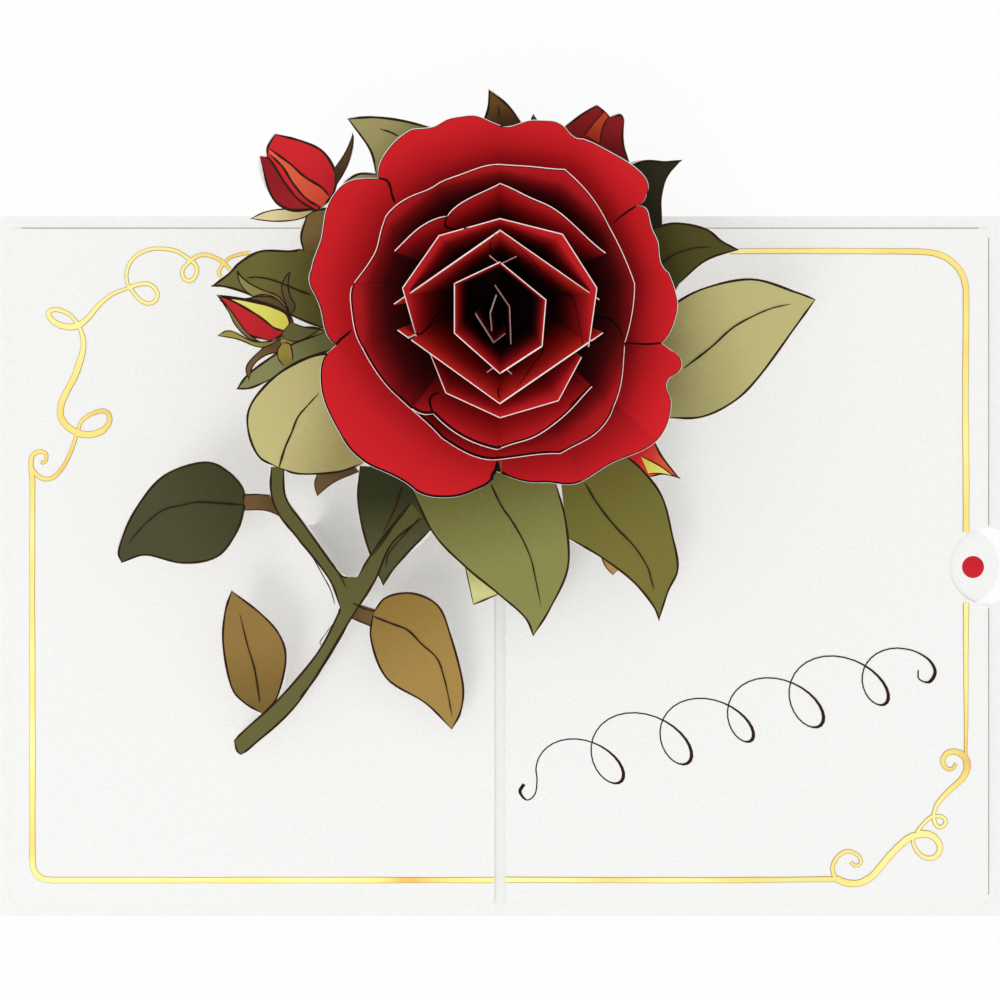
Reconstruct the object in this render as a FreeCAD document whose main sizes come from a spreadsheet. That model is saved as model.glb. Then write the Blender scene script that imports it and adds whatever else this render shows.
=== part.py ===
import FreeCAD, Part
import math
import os
import Sketcher

# Pop-up greeting card, opened flat on its cover
# X runs to the right, Y to the top edge, Z up. The origin is the centre of the cover's underside.

doc = FreeCAD.newDocument("PopUpCard")
Vec = FreeCAD.Vector
UP = Vec(0, 0, 1)

# Driving sizes, in millimetres and degrees
SIZES = {
    "card_width": 254.0,
    "card_depth": 177.8,
    "cover_thickness": 0.4,
    "score_width": 0.6,
    "score_depth": 0.1,
    "liner_thickness": 0.3,
    "liner_edge": 3.4,
    "liner_gutter": 1.4,
    "liner_corner": 1.5,
    "foam_thickness": 0.8,
    "foam_width": 8.0,
    "foam_gap": 0.5,
    "pocket_play": 1.5,
    "note_thickness": 0.35,
    "note_play": 0.02,
    "note_setback": 6.9,
    "tab_radius": 10.0,
    "notch_radius": 9.75,
    "sheet_thickness": 0.3,
    "sheet_tilt": 15.0,
    "sheet_crease_width": 0.4,
    "sheet_crease_depth": 0.08,
    "fold_point": 64.0,
    "pixel_width": 0.2545,
    "eye_height": 300.0,
    "eye_offset": 16.8,
    "rose_distance": 128.9,
    "rose_radius": 40.0,
    "drawn_radius": 40.0,
    "rose_seat": 35.0,
    "strip_thickness": 0.3,
    "slot_clearance": 0.1,
    "tongue_width": 4.0,
    "tongue_depth": 2.0,
    "support_thickness": 0.3,
    "foot_width": 7.0,
    "glue_width": 3.0,
    "spine_start": 60.0,
    "side_angle": 11.5,
    "side_start": 80.0,
    "side_length": 66.0,
    "branch_angle": 32.2,
    "branch_start": 70.0,
    "branch_length": 18.0,
}

table = doc.addObject("Spreadsheet::Sheet", "Sizes")
for row, (word, number) in enumerate(SIZES.items(), start=1):
    table.set(f"A{row}", word)
    table.set(f"B{row}", str(number))
    table.setAlias(f"B{row}", word)
doc.recompute()


def size(word):
    return float(getattr(table, word))


def bind(item, **formulas):
    """Ties properties to formulas of the size table; __ in a name stands for a dot."""
    for prop, formula in formulas.items():
        item.setExpression(prop.replace("__", "."), formula)


# Heights of the layers, as formulas of the table
COVER_TOP = "Sizes.cover_thickness"
LINER_BASE = f"({COVER_TOP} + Sizes.foam_thickness)"
LINER_WIDTH = "(Sizes.card_width / 2 - Sizes.liner_edge - Sizes.liner_gutter)"
LINER_DEPTH = "(Sizes.card_depth - 2 * Sizes.liner_edge)"
LINER_OUT = "(Sizes.card_width / 2 - Sizes.liner_edge)"
POCKET_DEPTH = f"({LINER_DEPTH} - 2 * Sizes.foam_width)"
NOTE_START = "(Sizes.foot_width + Sizes.pocket_play)"
NOTE_END = f"({LINER_OUT} - Sizes.note_setback)"

cover_top = size("cover_thickness")
liner_top = cover_top + size("foam_thickness") + size("liner_thickness")


# Cover: one folded board with a scored fold and a thumb notch
def plane_of(body, role):
    return next(f for f in body.Origin.OriginFeatures if f.Role == role)


def centred_rectangle(body, name, width, depth):
    """A sketch of a rectangle about the origin, its two sides tied to formulas."""
    sketch = body.newObject("Sketcher::SketchObject", name)
    sketch.AttachmentSupport = (plane_of(body, "XY_Plane"), [""])
    sketch.MapMode = "FlatFace"
    corners = [Vec(-9, -9, 0), Vec(9, -9, 0), Vec(9, 9, 0), Vec(-9, 9, 0)]
    for here, there in zip(corners, corners[1:] + corners[:1]):
        sketch.addGeometry(Part.LineSegment(here, there), False)
    for side in range(4):
        sketch.addConstraint(Sketcher.Constraint("Coincident", side, 2, (side + 1) % 4, 1))
    for side, way in enumerate(("Horizontal", "Vertical", "Horizontal", "Vertical")):
        sketch.addConstraint(Sketcher.Constraint(way, side))
    sketch.addConstraint(Sketcher.Constraint("Symmetric", 0, 1, 2, 1, -1, 1))
    across = sketch.addConstraint(Sketcher.Constraint("DistanceX", 0, 1, 0, 2, 18.0))
    along = sketch.addConstraint(Sketcher.Constraint("DistanceY", 1, 1, 1, 2, 18.0))
    sketch.setExpression(f"Constraints[{across}]", width)
    sketch.setExpression(f"Constraints[{along}]", depth)
    return sketch


def make_cover():
    body = doc.addObject("PartDesign::Body", "Cover")
    board = body.newObject("PartDesign::Pad", "Board")
    board.Profile = centred_rectangle(body, "BoardOutline", "Sizes.card_width", "Sizes.card_depth")
    bind(board, Length=COVER_TOP)
    doc.recompute()
    score = body.newObject("PartDesign::Pocket", "Score")
    outline = centred_rectangle(body, "ScoreOutline", "Sizes.score_width", "Sizes.card_depth")
    bind(outline, AttachmentOffset__Base__z="Sizes.cover_thickness - Sizes.score_depth")
    score.Profile = outline
    score.Reversed = True
    bind(score, Length="Sizes.score_depth")
    doc.recompute()
    notch = body.newObject("PartDesign::Pocket", "ThumbNotch")
    ring = body.newObject("Sketcher::SketchObject", "NotchOutline")
    ring.AttachmentSupport = (plane_of(body, "XY_Plane"), [""])
    ring.MapMode = "FlatFace"
    centre = Vec(size("card_width") / 2 - size("liner_edge"), 0, 0)
    ring.addGeometry(Part.Circle(centre, UP, size("notch_radius")), False)
    ring.addConstraint(Sketcher.Constraint("PointOnObject", 0, 3, -1))
    place = ring.addConstraint(Sketcher.Constraint("DistanceX", -1, 1, 0, 3, centre.x))
    reach = ring.addConstraint(Sketcher.Constraint("Radius", 0, size("notch_radius")))
    ring.setExpression(f"Constraints[{place}]", LINER_OUT)
    ring.setExpression(f"Constraints[{reach}]", "Sizes.notch_radius")
    notch.Profile = ring
    notch.Reversed = True
    bind(notch, Length="Sizes.cover_thickness")
    doc.recompute()
    body.Tip = notch
    body.Label = "cover"
    return body


# Liner panels: printed sheets on foam strips, the right one with the thumb notch
def make_liner(label, start):
    panel = doc.addObject("Part::Box", label + "_panel")
    bind(
        panel,
        Length=LINER_WIDTH,
        Width=LINER_DEPTH,
        Height="Sizes.liner_thickness",
        Placement__Base__x=start,
        Placement__Base__y=f"-{LINER_DEPTH} / 2",
        Placement__Base__z=LINER_BASE,
    )
    doc.recompute()
    rounded = doc.addObject("Part::Fillet", label + "_rounded")
    rounded.Base = panel
    uprights = [n for n, e in enumerate(panel.Shape.Edges, 1) if abs(e.tangentAt(e.FirstParameter).z) > 0.9]
    rounded.Edges = [(n, size("liner_corner"), size("liner_corner")) for n in uprights]
    doc.recompute()
    return rounded


def make_liner_right():
    rounded = make_liner("liner_right", "Sizes.liner_gutter")
    bite = doc.addObject("Part::Cylinder", "liner_bite")
    bind(
        bite,
        Radius="Sizes.notch_radius",
        Height="Sizes.liner_thickness * 3",
        Placement__Base__x=LINER_OUT,
        Placement__Base__z=f"{LINER_BASE} - Sizes.liner_thickness",
    )
    panel = doc.addObject("Part::Cut", "liner_right_cut")
    panel.Base = rounded
    panel.Tool = bite
    panel.Label = "liner_right"
    return panel


# Foam strips: they lift the liners off the cover and frame the note's pocket
def make_foam(label, x, y, length, depth):
    strip = doc.addObject("Part::Box", label)
    bind(
        strip,
        Length=length,
        Width=depth,
        Height="Sizes.foam_thickness",
        Placement__Base__x=x,
        Placement__Base__y=y,
        Placement__Base__z=COVER_TOP,
    )
    strip.Label = label
    return strip


def make_foams():
    low = f"-{LINER_DEPTH} / 2"
    high = f"{LINER_DEPTH} / 2 - Sizes.foam_width"
    left = f"-{LINER_OUT}"
    edge = "Sizes.foam_width"
    above = f"{low} + Sizes.foam_width"
    up_to_spine = f"Sizes.spine_start - Sizes.fold_point - Sizes.foam_gap - ({above})"
    return [
        make_foam("foam_left_bottom", left, low, LINER_WIDTH, edge),
        make_foam("foam_left_top", left, high, LINER_WIDTH, edge),
        make_foam("foam_left_edge", left, above, edge, POCKET_DEPTH),
        make_foam("foam_left_fold", "-Sizes.liner_gutter - Sizes.foam_width / 2", above,
                  "Sizes.foam_width / 2", up_to_spine),
        make_foam("foam_right_bottom", "Sizes.liner_gutter", low, LINER_WIDTH, edge),
        make_foam("foam_right_top", "Sizes.liner_gutter", high, LINER_WIDTH, edge),
        make_foam("foam_right_fold", "Sizes.liner_gutter", above, "Sizes.foam_width / 2", up_to_spine),
    ]


# Note card: slides out of the pocket under the right liner by its round tab
def make_note():
    level = f"{COVER_TOP} + Sizes.note_play"
    sheet = doc.addObject("Part::Box", "note_sheet")
    bind(
        sheet,
        Length=f"{NOTE_END} - {NOTE_START}",
        Width=f"{POCKET_DEPTH} - 2 * Sizes.pocket_play",
        Height="Sizes.note_thickness",
        Placement__Base__x=NOTE_START,
        Placement__Base__y=f"Sizes.pocket_play - {POCKET_DEPTH} / 2",
        Placement__Base__z=level,
    )
    tab = doc.addObject("Part::Cylinder", "note_tab")
    bind(
        tab,
        Radius="Sizes.tab_radius",
        Height="Sizes.note_thickness",
        Placement__Base__x=NOTE_END,
        Placement__Base__z=level,
    )
    note = doc.addObject("Part::Fuse", "note_fuse")
    note.Base = sheet
    note.Tool = tab
    note.Refine = True
    note.Label = "note_card"
    return note


# Raised sheet: leaves, buds and stem are one die-cut sheet, tilted about the fold point
tilt = math.radians(size("sheet_tilt"))
sheet_place = FreeCAD.Placement(
    Vec(0, -size("fold_point"), liner_top), FreeCAD.Rotation(Vec(1, 0, 0), size("sheet_tilt"))
)


def on_rose_seat(along):
    """The rose's frame, at a distance along the sheet."""
    return sheet_place.multiply(FreeCAD.Placement(Vec(0, along, size("sheet_thickness")), FreeCAD.Rotation()))


rose_place = on_rose_seat(size("rose_distance"))

VIEW_CENTRE = (500, 500)
ROSE_CENTRE = (500, 305.7)


def under_eye(across, down):
    """Where a point of the drawing, seen from the eye straight above, lies on the sheet."""
    ray_x = (across - VIEW_CENTRE[0]) * size("pixel_width") / size("eye_height")
    ray_y = (VIEW_CENTRE[1] - down) * size("pixel_width") / size("eye_height")
    slope = math.tan(tilt)
    start = liner_top + slope * (size("eye_offset") + size("fold_point"))
    drop = (size("eye_height") - start) / (1 + slope * ray_y)
    along = (size("eye_offset") + size("fold_point") + ray_y * drop) / math.cos(tilt)
    return Vec(ray_x * drop, along, 0)


def on_sheet(across, down):
    """A point of the drawing on the sheet; the drawing keeps its place about the rose."""
    return under_eye(across, down) - under_eye(*ROSE_CENTRE) + Vec(0, size("rose_distance"), 0)


# Outlines of the drawing: each shape is a chain of runs, smooth inside a run, cornered between
FOLIAGE = {
    "left_leaf": [
        [(245, 502), (244, 488), (228, 470), (204, 461), (163, 475), (134, 510), (118, 548), (121, 564)],
        [(121, 564), (146, 556), (182, 564), (217, 558), (237, 534), (245, 510), (245, 502)],
    ],
    "left_leaf_stalk": [
        [(240, 493), (270, 494)], [(270, 494), (280, 517)], [(280, 517), (265, 511), (240, 511)],
        [(240, 511), (240, 493)],
    ],
    "stem": [
        [(233, 740), (245, 728), (279, 697), (316, 653), (336, 616), (339, 607)],
        [(339, 607), (328, 579), (297, 539), (278, 515), (270, 493), (270, 466)],
        [(270, 466), (285, 466)],
        [(285, 466), (287, 497), (306, 525), (339, 571), (348, 576)],
        [(348, 576), (357, 576)],
        [(357, 576), (368, 557), (384, 534), (411, 501)],
        [(411, 501), (424, 518)],
        [(424, 518), (393, 544), (376, 581), (352, 619), (300, 702), (255, 745), (241, 756)],
        [(241, 756), (236, 751), (233, 740)],
    ],
    "low_leaf": [
        [(263, 715), (278, 698), (287, 660), (281, 635), (262, 613), (231, 589)],
        [(231, 589), (224, 612), (222, 644), (230, 686), (243, 703), (263, 715)],
    ],
    "middle_leaf": [
        [(372, 612), (386, 596), (413, 592), (439, 605), (452, 636), (464, 683), (462, 711), (452, 731)],
        [(452, 731), (425, 704), (386, 679), (370, 640), (372, 612)],
    ],
    "middle_leaf_stalk": [[(350, 601), (380, 610)], [(380, 610), (372, 627)], [(372, 627), (346, 617)],
                          [(346, 617), (350, 601)]],
    "shade_leaf": [
        [(359, 465), (357, 503), (366, 545), (383, 588)],
        [(383, 588), (384, 582), (406, 556), (432, 530)],
        [(432, 530), (460, 430)], [(460, 430), (400, 420)], [(400, 420), (359, 465)],
    ],
    "centre_leaf": [
        [(409, 485), (432, 533), (463, 566), (497, 594), (524, 618), (533, 638)],
        [(533, 638), (551, 609), (569, 568), (567, 522), (556, 480)],
        [(556, 480), (550, 400)], [(550, 400), (440, 400)], [(440, 400), (409, 485)],
    ],
    "pale_tip": [[(463, 560), (468, 583), (473, 606)], [(473, 606), (499, 595)], [(499, 595), (463, 560)]],
    "right_low_leaf": [
        [(566, 538), (599, 557), (631, 581), (652, 606), (659, 623)],
        [(659, 623), (669, 592), (679, 568), (673, 533), (663, 496), (642, 468), (620, 450)],
        [(620, 450), (590, 400)], [(590, 400), (540, 420)], [(540, 420), (566, 538)],
    ],
    "brown_tip": [[(598, 552), (605, 567), (613, 576)], [(613, 576), (620, 569)], [(620, 569), (598, 552)]],
    "right_bud": [
        [(654, 438), (663, 456), (682, 480)],
        [(682, 480), (665, 475), (650, 478)],
        [(650, 478), (620, 450)], [(620, 450), (590, 400)], [(590, 400), (654, 438)],
    ],
    "top_right_leaf": [
        [(615, 172), (644, 160), (664, 161), (684, 159)],
        [(684, 159), (669, 175), (662, 197), (663, 226)],
        [(663, 226), (590, 250)], [(590, 250), (585, 210)], [(585, 210), (615, 172)],
    ],
    "right_leaf": [
        [(648, 229), (675, 222), (706, 228), (722, 240), (741, 250)],
        [(741, 250), (707, 261), (680, 284)],
        [(680, 284), (665, 310)], [(665, 310), (600, 290)], [(600, 290), (648, 229)],
    ],
    "pale_leaf": [
        [(660, 312), (699, 289), (751, 278), (796, 291), (817, 299)],
        [(817, 299), (796, 328), (761, 376), (735, 402), (702, 418), (666, 419)],
        [(666, 419), (600, 380)], [(600, 380), (600, 330)], [(600, 330), (660, 312)],
    ],
    "wide_leaf": [
        [(345, 350), (310, 356), (275, 375), (250, 404), (247, 430), (258, 457), (279, 469)],
        [(279, 469), (300, 475), (338, 473), (362, 465)],
        [(362, 465), (430, 390)], [(430, 390), (400, 340)], [(400, 340), (345, 350)],
    ],
    "thorn": [[(318, 470), (314, 484), (317, 497)], [(317, 497), (334, 483), (360, 472)],
              [(360, 472), (390, 440)], [(390, 440), (318, 470)]],
    "low_left_leaf": [
        [(235, 390), (247, 374), (268, 358), (292, 343), (325, 331)],
        [(325, 331), (400, 320)], [(400, 320), (350, 345)],
        [(350, 345), (300, 362), (270, 381)], [(270, 381), (251, 389), (235, 390)],
    ],
    "left_leaf_green": [
        [(209, 287), (228, 273), (240, 261), (261, 250), (290, 250), (301, 248)],
        [(301, 248), (400, 260)], [(400, 260), (400, 310)], [(400, 310), (330, 332)],
        [(330, 332), (295, 318), (253, 297), (226, 288), (209, 287)],
    ],
    "left_bud": [
        [(215, 294), (240, 297), (268, 303), (288, 312), (294, 324), (286, 334), (270, 342)],
        [(270, 342), (243, 333), (228, 310), (215, 294)],
    ],
    "left_bud_sepal": [[(237, 269), (246, 282), (262, 289)], [(262, 289), (262, 297), (246, 292), (237, 269)]],
    "left_bud_hook": [[(216, 336), (230, 330), (256, 341), (285, 338)],
                      [(285, 338), (262, 348), (238, 340), (216, 336)]],
    "left_bud_curl": [[(280, 336), (262, 348), (246, 366), (249, 382)],
                      [(249, 382), (254, 366), (266, 356), (284, 352)],
                      [(284, 352), (280, 336)]],
    "left_bud_stalk": [[(280, 334), (310, 326), (332, 332)], [(332, 332), (390, 330)],
                       [(390, 330), (332, 344)], [(332, 344), (296, 352), (284, 370)],
                       [(284, 370), (276, 350), (280, 334)]],
    "top_bud": [
        [(275, 133), (302, 140), (324, 151), (337, 174), (334, 195), (318, 211)],
        [(318, 211), (288, 211), (270, 195), (259, 155)],
        [(259, 155), (266, 156)], [(266, 156), (267, 146), (275, 133)],
    ],
    "top_bud_sepal": [[(353, 132), (346, 150), (334, 168)], [(334, 168), (334, 190)],
                      [(334, 190), (348, 166), (354, 141), (353, 132)]],
    "top_bud_hook": [[(249, 219), (266, 211), (288, 208), (318, 208)],
                     [(318, 208), (302, 219), (275, 222), (249, 219)]],
    "top_bud_stalk": [[(307, 212), (300, 236), (303, 252)], [(303, 252), (400, 280)],
                      [(400, 280), (400, 230)], [(400, 230), (352, 205)],
                      [(352, 205), (322, 208), (307, 212)]],
    "top_left_leaf": [
        [(346, 118), (371, 116), (400, 119), (432, 127)],
        [(432, 127), (450, 195)], [(450, 195), (400, 220)], [(400, 220), (345, 205)],
        [(345, 205), (343, 182)], [(343, 182), (358, 173), (375, 173)],
        [(375, 173), (369, 150), (346, 118)],
    ],
    "top_leaf": [[(488, 88), (509, 105), (524, 126)], [(524, 126), (500, 185)], [(500, 185), (480, 126)],
                 [(480, 126), (487, 108), (488, 88)]],
    "top_thorn": [[(533, 113), (530, 124), (528, 160)], [(528, 160), (544, 185)], [(544, 185), (544, 160)],
                  [(544, 160), (542, 130), (533, 113)]],
    "top_right_bud": [[(562, 128), (582, 113), (597, 104)], [(597, 104), (606, 112), (610, 116)],
                      [(610, 116), (621, 114), (625, 120)], [(625, 120), (624, 142), (632, 168)],
                      [(632, 168), (580, 200)], [(580, 200), (562, 128)]],
}


def smooth_edge(placed):
    """A line through two points, or a smooth curve through more."""
    if len(placed) == 2:
        return Part.makeLine(placed[0], placed[1])
    curve = Part.BSplineCurve()
    curve.interpolate(placed)
    return curve.toShape()


def outline_face(runs):
    """A face from the runs of an outline, turned so that every face looks up."""
    placed = [[on_sheet(across, down) for across, down in points] for points in runs]
    face = Part.Face(Part.Wire([smooth_edge(points) for points in placed]))
    if face.normalAt(0, 0).z > 0:
        return face
    return Part.Face(Part.Wire([smooth_edge(points[::-1]) for points in reversed(placed)]))


def make_leaf_sheet(tongue_slits):
    """The union of all outlines and the rose's round seat, creased on the fold and slit for the rose."""
    lift = UP * size("sheet_thickness")
    seat = Part.makeCylinder(size("rose_seat"), lift.Length, Vec(0, size("rose_distance"), 0))
    solid = seat.multiFuse([outline_face(runs).extrude(lift) for runs in FOLIAGE.values()]).removeSplitter()
    width = size("sheet_crease_width")
    depth = size("sheet_crease_depth")
    reach = size("rose_distance") * 2
    crease = Part.makeBox(width, reach, depth, Vec(-width / 2, 0, lift.Length - depth))
    solid = solid.cut(crease)
    solid.Placement = sheet_place
    solid = solid.cut(tongue_slits)
    return solid.Solids[0] if len(solid.Solids) == 1 else solid


def is_short(run):
    return run[0].distanceToPoint(run[-1]) < size("strip_thickness") * 3


def joined(runs):
    """Runs laid end to end; a run too short to matter is taken in by its neighbour."""
    chain = [runs[0]]
    for run in runs[1:]:
        if is_short(chain[-1]):
            chain[-1] = [chain[-1][0], *run[1:]]
        elif is_short(run):
            chain[-1] = [*chain[-1][:-1], run[-1]]
        else:
            chain.append([chain[-1][-1], *run[1:]])
    return [thinned(run) for run in chain]


def thinned(run):
    """The points of a run without those that crowd its two ends."""
    inner = [p for p in run[1:-1] if not is_short([run[0], p]) and not is_short([p, run[-1]])]
    return [run[0], *inner, run[-1]]


# Rims of the wide rings as the drawing shows them, run by run, anticlockwise from the first crease
OUTER_RIM = [
    [(500, 125), (488, 120), (474, 115), (461, 116), (447, 119), (434, 126), (422, 128), (409, 129), (398, 138),
     (387, 150), (380, 162), (378, 178)],
    [(378, 178), (364, 178), (351, 180), (338, 187), (331, 198), (326, 209), (323, 225), (320, 241), (314, 257),
     (310, 273), (310, 286), (316, 298), (321, 313), (324, 328), (336, 345)],
    [(336, 345), (328, 352), (321, 365), (320, 377), (322, 395), (329, 414), (344, 442), (356, 456), (370, 466),
     (386, 473), (402, 481), (415, 491), (426, 496), (445, 498), (461, 496), (474, 491), (485, 486), (495, 471)],
    [(495, 471), (514, 479), (533, 483), (549, 483), (568, 485), (580, 483), (595, 474), (611, 464), (630, 456),
     (646, 449), (658, 440), (667, 426), (671, 411), (671, 399), (667, 388), (669, 379), (679, 372), (682, 365),
     (679, 356), (662, 343)],
    [(662, 343), (670, 333), (675, 321), (678, 305), (676, 292), (671, 276), (660, 258), (658, 241), (653, 230),
     (650, 219), (648, 211), (636, 206)],
    [(636, 206), (644, 201), (648, 191), (647, 180), (640, 171), (630, 163), (611, 152), (592, 142), (579, 137),
     (569, 132), (564, 126), (555, 121), (542, 120), (530, 120), (520, 123), (510, 126), (500, 125)],
]
SECOND_UPPER_RIM = [
    [(622, 355), (631, 321), (634, 302), (635, 282)],
    [(635, 282), (622, 251), (603, 214), (592, 197), (580, 183), (565, 169)],
    [(565, 169), (549, 168), (530, 166), (514, 165), (500, 164)],
    [(500, 164), (488, 165), (458, 175), (442, 181), (426, 190), (413, 195), (396, 205), (385, 217)],
    [(385, 217), (380, 233), (376, 249), (367, 265), (355, 281), (346, 295)],
]
SECOND_LOWER_RIM = [
    [(356, 272), (350, 294), (351, 310), (354, 329), (363, 351), (375, 371), (391, 391), (407, 406), (423, 420),
     (441, 438), (458, 449), (478, 458), (497, 460)],
    [(497, 460), (514, 458), (536, 455), (560, 454)],
    [(560, 454), (579, 444), (593, 436), (608, 420), (616, 402), (622, 380), (624, 359), (626, 335)],
]
THIRD_UPPER_RIM = [
    [(616, 262), (604, 251), (584, 234), (568, 219), (552, 207), (530, 197), (514, 189), (500, 183)],
    [(500, 183), (471, 197), (455, 207), (447, 216)],
    [(447, 216), (434, 219), (421, 226), (407, 238), (394, 251), (382, 262)],
]
THIRD_LOWER_RIM = [
    [(396, 399), (418, 413), (433, 414)],
    [(433, 414), (442, 423), (458, 435), (474, 443), (497, 450)],
    [(497, 450), (514, 444), (533, 438), (555, 424), (571, 410), (581, 399), (593, 386), (604, 372)],
]

drawn_seat = on_rose_seat(under_eye(*ROSE_CENTRE).y).inverse()
eye_over_rose = drawn_seat.multVec(Vec(0, size("eye_offset"), size("eye_height")))


def sight(across, down):
    """The eye's line through a point of the drawing, in the rose's frame."""
    slope = size("pixel_width") / size("eye_height")
    grow = size("rose_radius") / size("drawn_radius")
    point = Vec(*ROSE_CENTRE, 0) + (Vec(across, down, 0) - Vec(*ROSE_CENTRE, 0)) * grow
    way = Vec((point.x - VIEW_CENTRE[0]) * slope, (VIEW_CENTRE[1] - point.y) * slope, -1)
    return drawn_seat.Rotation.multVec(way)


# Rose strips: each is folded on creases that all point at one apex under the rose
TAIL_LOW = 0.35
TAIL_HIGH = 0.7
TAIL_TAPER = 0.5


class Strip:
    """Lengths are hundredths of the rose's radius. The rim is drawn, or one share of each crease."""

    def __init__(self, label, corners, rim_height, apex_depth, rim, tails=(0, 0), tongues=()):
        unit = size("rose_radius") / 100
        self.label = label
        self.corners = [Vec(x, y, rim_height) * unit for x, y in corners]
        self.apex = Vec(0, 0, -apex_depth) * unit
        self.base = apex_depth / (apex_depth + rim_height)
        self.rim = rim
        self.tails = [length * unit for length in tails]
        self.tongues = tongues

    def ray(self, corner, fraction):
        """A point on the crease through a corner; fraction 0 is the apex, 1 the nominal rim."""
        return self.apex + (self.corners[corner] - self.apex) * fraction

    def level(self, height):
        """The fraction at which every crease passes a height."""
        rise = self.corners[0].z - self.apex.z
        return (height - self.apex.z) / rise

    def inward(self, facet):
        first = self.corners[facet] - self.apex
        second = self.corners[facet + 1] - self.apex
        normal = first.cross(second).normalize()
        middle = (self.corners[facet] + self.corners[facet + 1]) * 0.5
        towards_axis = Vec(-middle.x, -middle.y, 0)
        return normal if normal.dot(towards_axis) > 0 else normal * -1

    def plate(self, facet, edges, grow=0.0):
        """A flat outline in a facet's plane, given the card's thickness on the inner side."""
        normal = self.inward(facet)
        face = Part.Face(Part.Wire(edges))
        face.translate(normal * -grow)
        return face.extrude(normal * (size("strip_thickness") + 2 * grow))

    def drawn_runs(self, facet):
        """The drawn rim between a facet's two creases, as runs of points on its plane."""
        normal = self.inward(facet)
        first, last = self.corners[facet] - self.apex, self.corners[facet + 1] - self.apex
        turn = first.cross(last)

        def seen(across, down):
            way = sight(across, down)
            return eye_over_rose + way * ((self.apex - eye_over_rose).dot(normal) / way.dot(normal))

        def past_first(point):
            return first.cross(point - self.apex).dot(turn)

        def past_last(point):
            return last.cross(point - self.apex).dot(turn)

        def trim(points, side, sign):
            kept = []
            for here, there in zip(points, points[1:]):
                a, b = side(here) * sign, side(there) * sign
                if a >= 0:
                    kept.append(here)
                if a * b < 0:
                    kept.append(here + (there - here) * (a / (a - b)))
            if points and side(points[-1]) * sign >= 0:
                kept.append(points[-1])
            return kept

        def share(run):
            middle = (run[0] + run[-1]) * 0.5
            return past_first(middle) / (past_first(middle) - past_last(middle))

        runs = [trim(trim([seen(*p) for p in run], past_first, 1), past_last, -1) for run in self.rim]
        return joined(sorted((run for run in runs if len(run) > 1), key=share))

    def facet(self, facet):
        if isinstance(self.rim[0], float):
            runs = [[self.ray(facet, self.rim[facet]), self.ray(facet + 1, self.rim[facet + 1])]]
        else:
            runs = self.drawn_runs(facet)
        low_a, low_b = self.ray(facet, self.base), self.ray(facet + 1, self.base)
        edges = [Part.makeLine(low_a, low_b), Part.makeLine(low_b, runs[-1][-1])]
        edges += [smooth_edge(run[::-1]) for run in reversed(runs)]
        edges.append(Part.makeLine(runs[0][0], low_a))
        return self.plate(facet, edges)

    def polygon(self, facet, points, grow=0.0):
        ring = points + points[:1]
        return self.plate(facet, [Part.makeLine(a, b) for a, b in zip(ring, ring[1:])], grow)

    def tail(self, end, grow=0.0, low=None, high=None):
        """The stretch of an end facet that runs on past the seam, where the other half crosses."""
        length = self.tails[end]
        corner = (0, len(self.corners) - 1)[end]
        neighbour = (1, len(self.corners) - 2)[end]
        facet = (0, len(self.corners) - 2)[end]
        away = (self.corners[corner] - self.corners[neighbour]).normalize()
        low = self.base + TAIL_LOW * (1 - self.base) if low is None else low
        high = self.base + TAIL_HIGH * (1 - self.base) if high is None else high
        root_low, root_high = self.ray(corner, low), self.ray(corner, high)
        points = [root_low, root_low + away * (length * low * TAIL_TAPER),
                  root_high + away * (length * high), root_high]
        return self.polygon(facet, points, grow)

    def slab(self, low, high):
        """The strip's own thickness with clearance, taller than the strip: it cuts the slots."""
        grow = size("slot_clearance")
        parts = []
        for facet in range(len(self.corners) - 1):
            points = [self.ray(facet, low), self.ray(facet + 1, low), self.ray(facet + 1, high),
                      self.ray(facet, high)]
            parts.append(self.polygon(facet, points, grow))
        parts += [self.tail(end, grow, low, high) for end in (0, 1) if self.tails[end]]
        return parts[0].multiFuse(parts[1:])

    def tongue(self, facet, grow=0.0):
        """A tongue under a facet that goes through its slit in the sheet."""
        low = self.level(-size("sheet_thickness") - size("tongue_depth"))
        base_a, base_b = self.ray(facet, self.base), self.ray(facet + 1, self.base)
        half = (size("tongue_width") / 2 + grow) / base_a.distanceToPoint(base_b)
        near, far = 0.5 - half, 0.5 + half
        deep_a, deep_b = self.ray(facet, low), self.ray(facet + 1, low)
        points = [
            base_a + (base_b - base_a) * near,
            base_a + (base_b - base_a) * far,
            deep_a + (deep_b - deep_a) * far,
            deep_a + (deep_b - deep_a) * near,
        ]
        return self.polygon(facet, points, grow)

    def build(self):
        parts = [self.facet(facet) for facet in range(len(self.corners) - 1)]
        parts += [self.tail(end) for end in (0, 1) if self.tails[end]]
        parts += [self.tongue(facet) for facet in self.tongues]
        return parts[0].multiFuse(parts[1:]).removeSplitter() if len(parts) > 1 else parts[0]


def polar(azimuth, radius):
    angle = math.radians(azimuth)
    return (radius * math.cos(angle), radius * math.sin(angle))


def ring_corners(sides, radius, first, count):
    """Corners of a stretch of a regular ring of so many sides, from the azimuth first on."""
    return [polar(first + k * 360 / sides, radius) for k in range(count + 1)]


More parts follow.
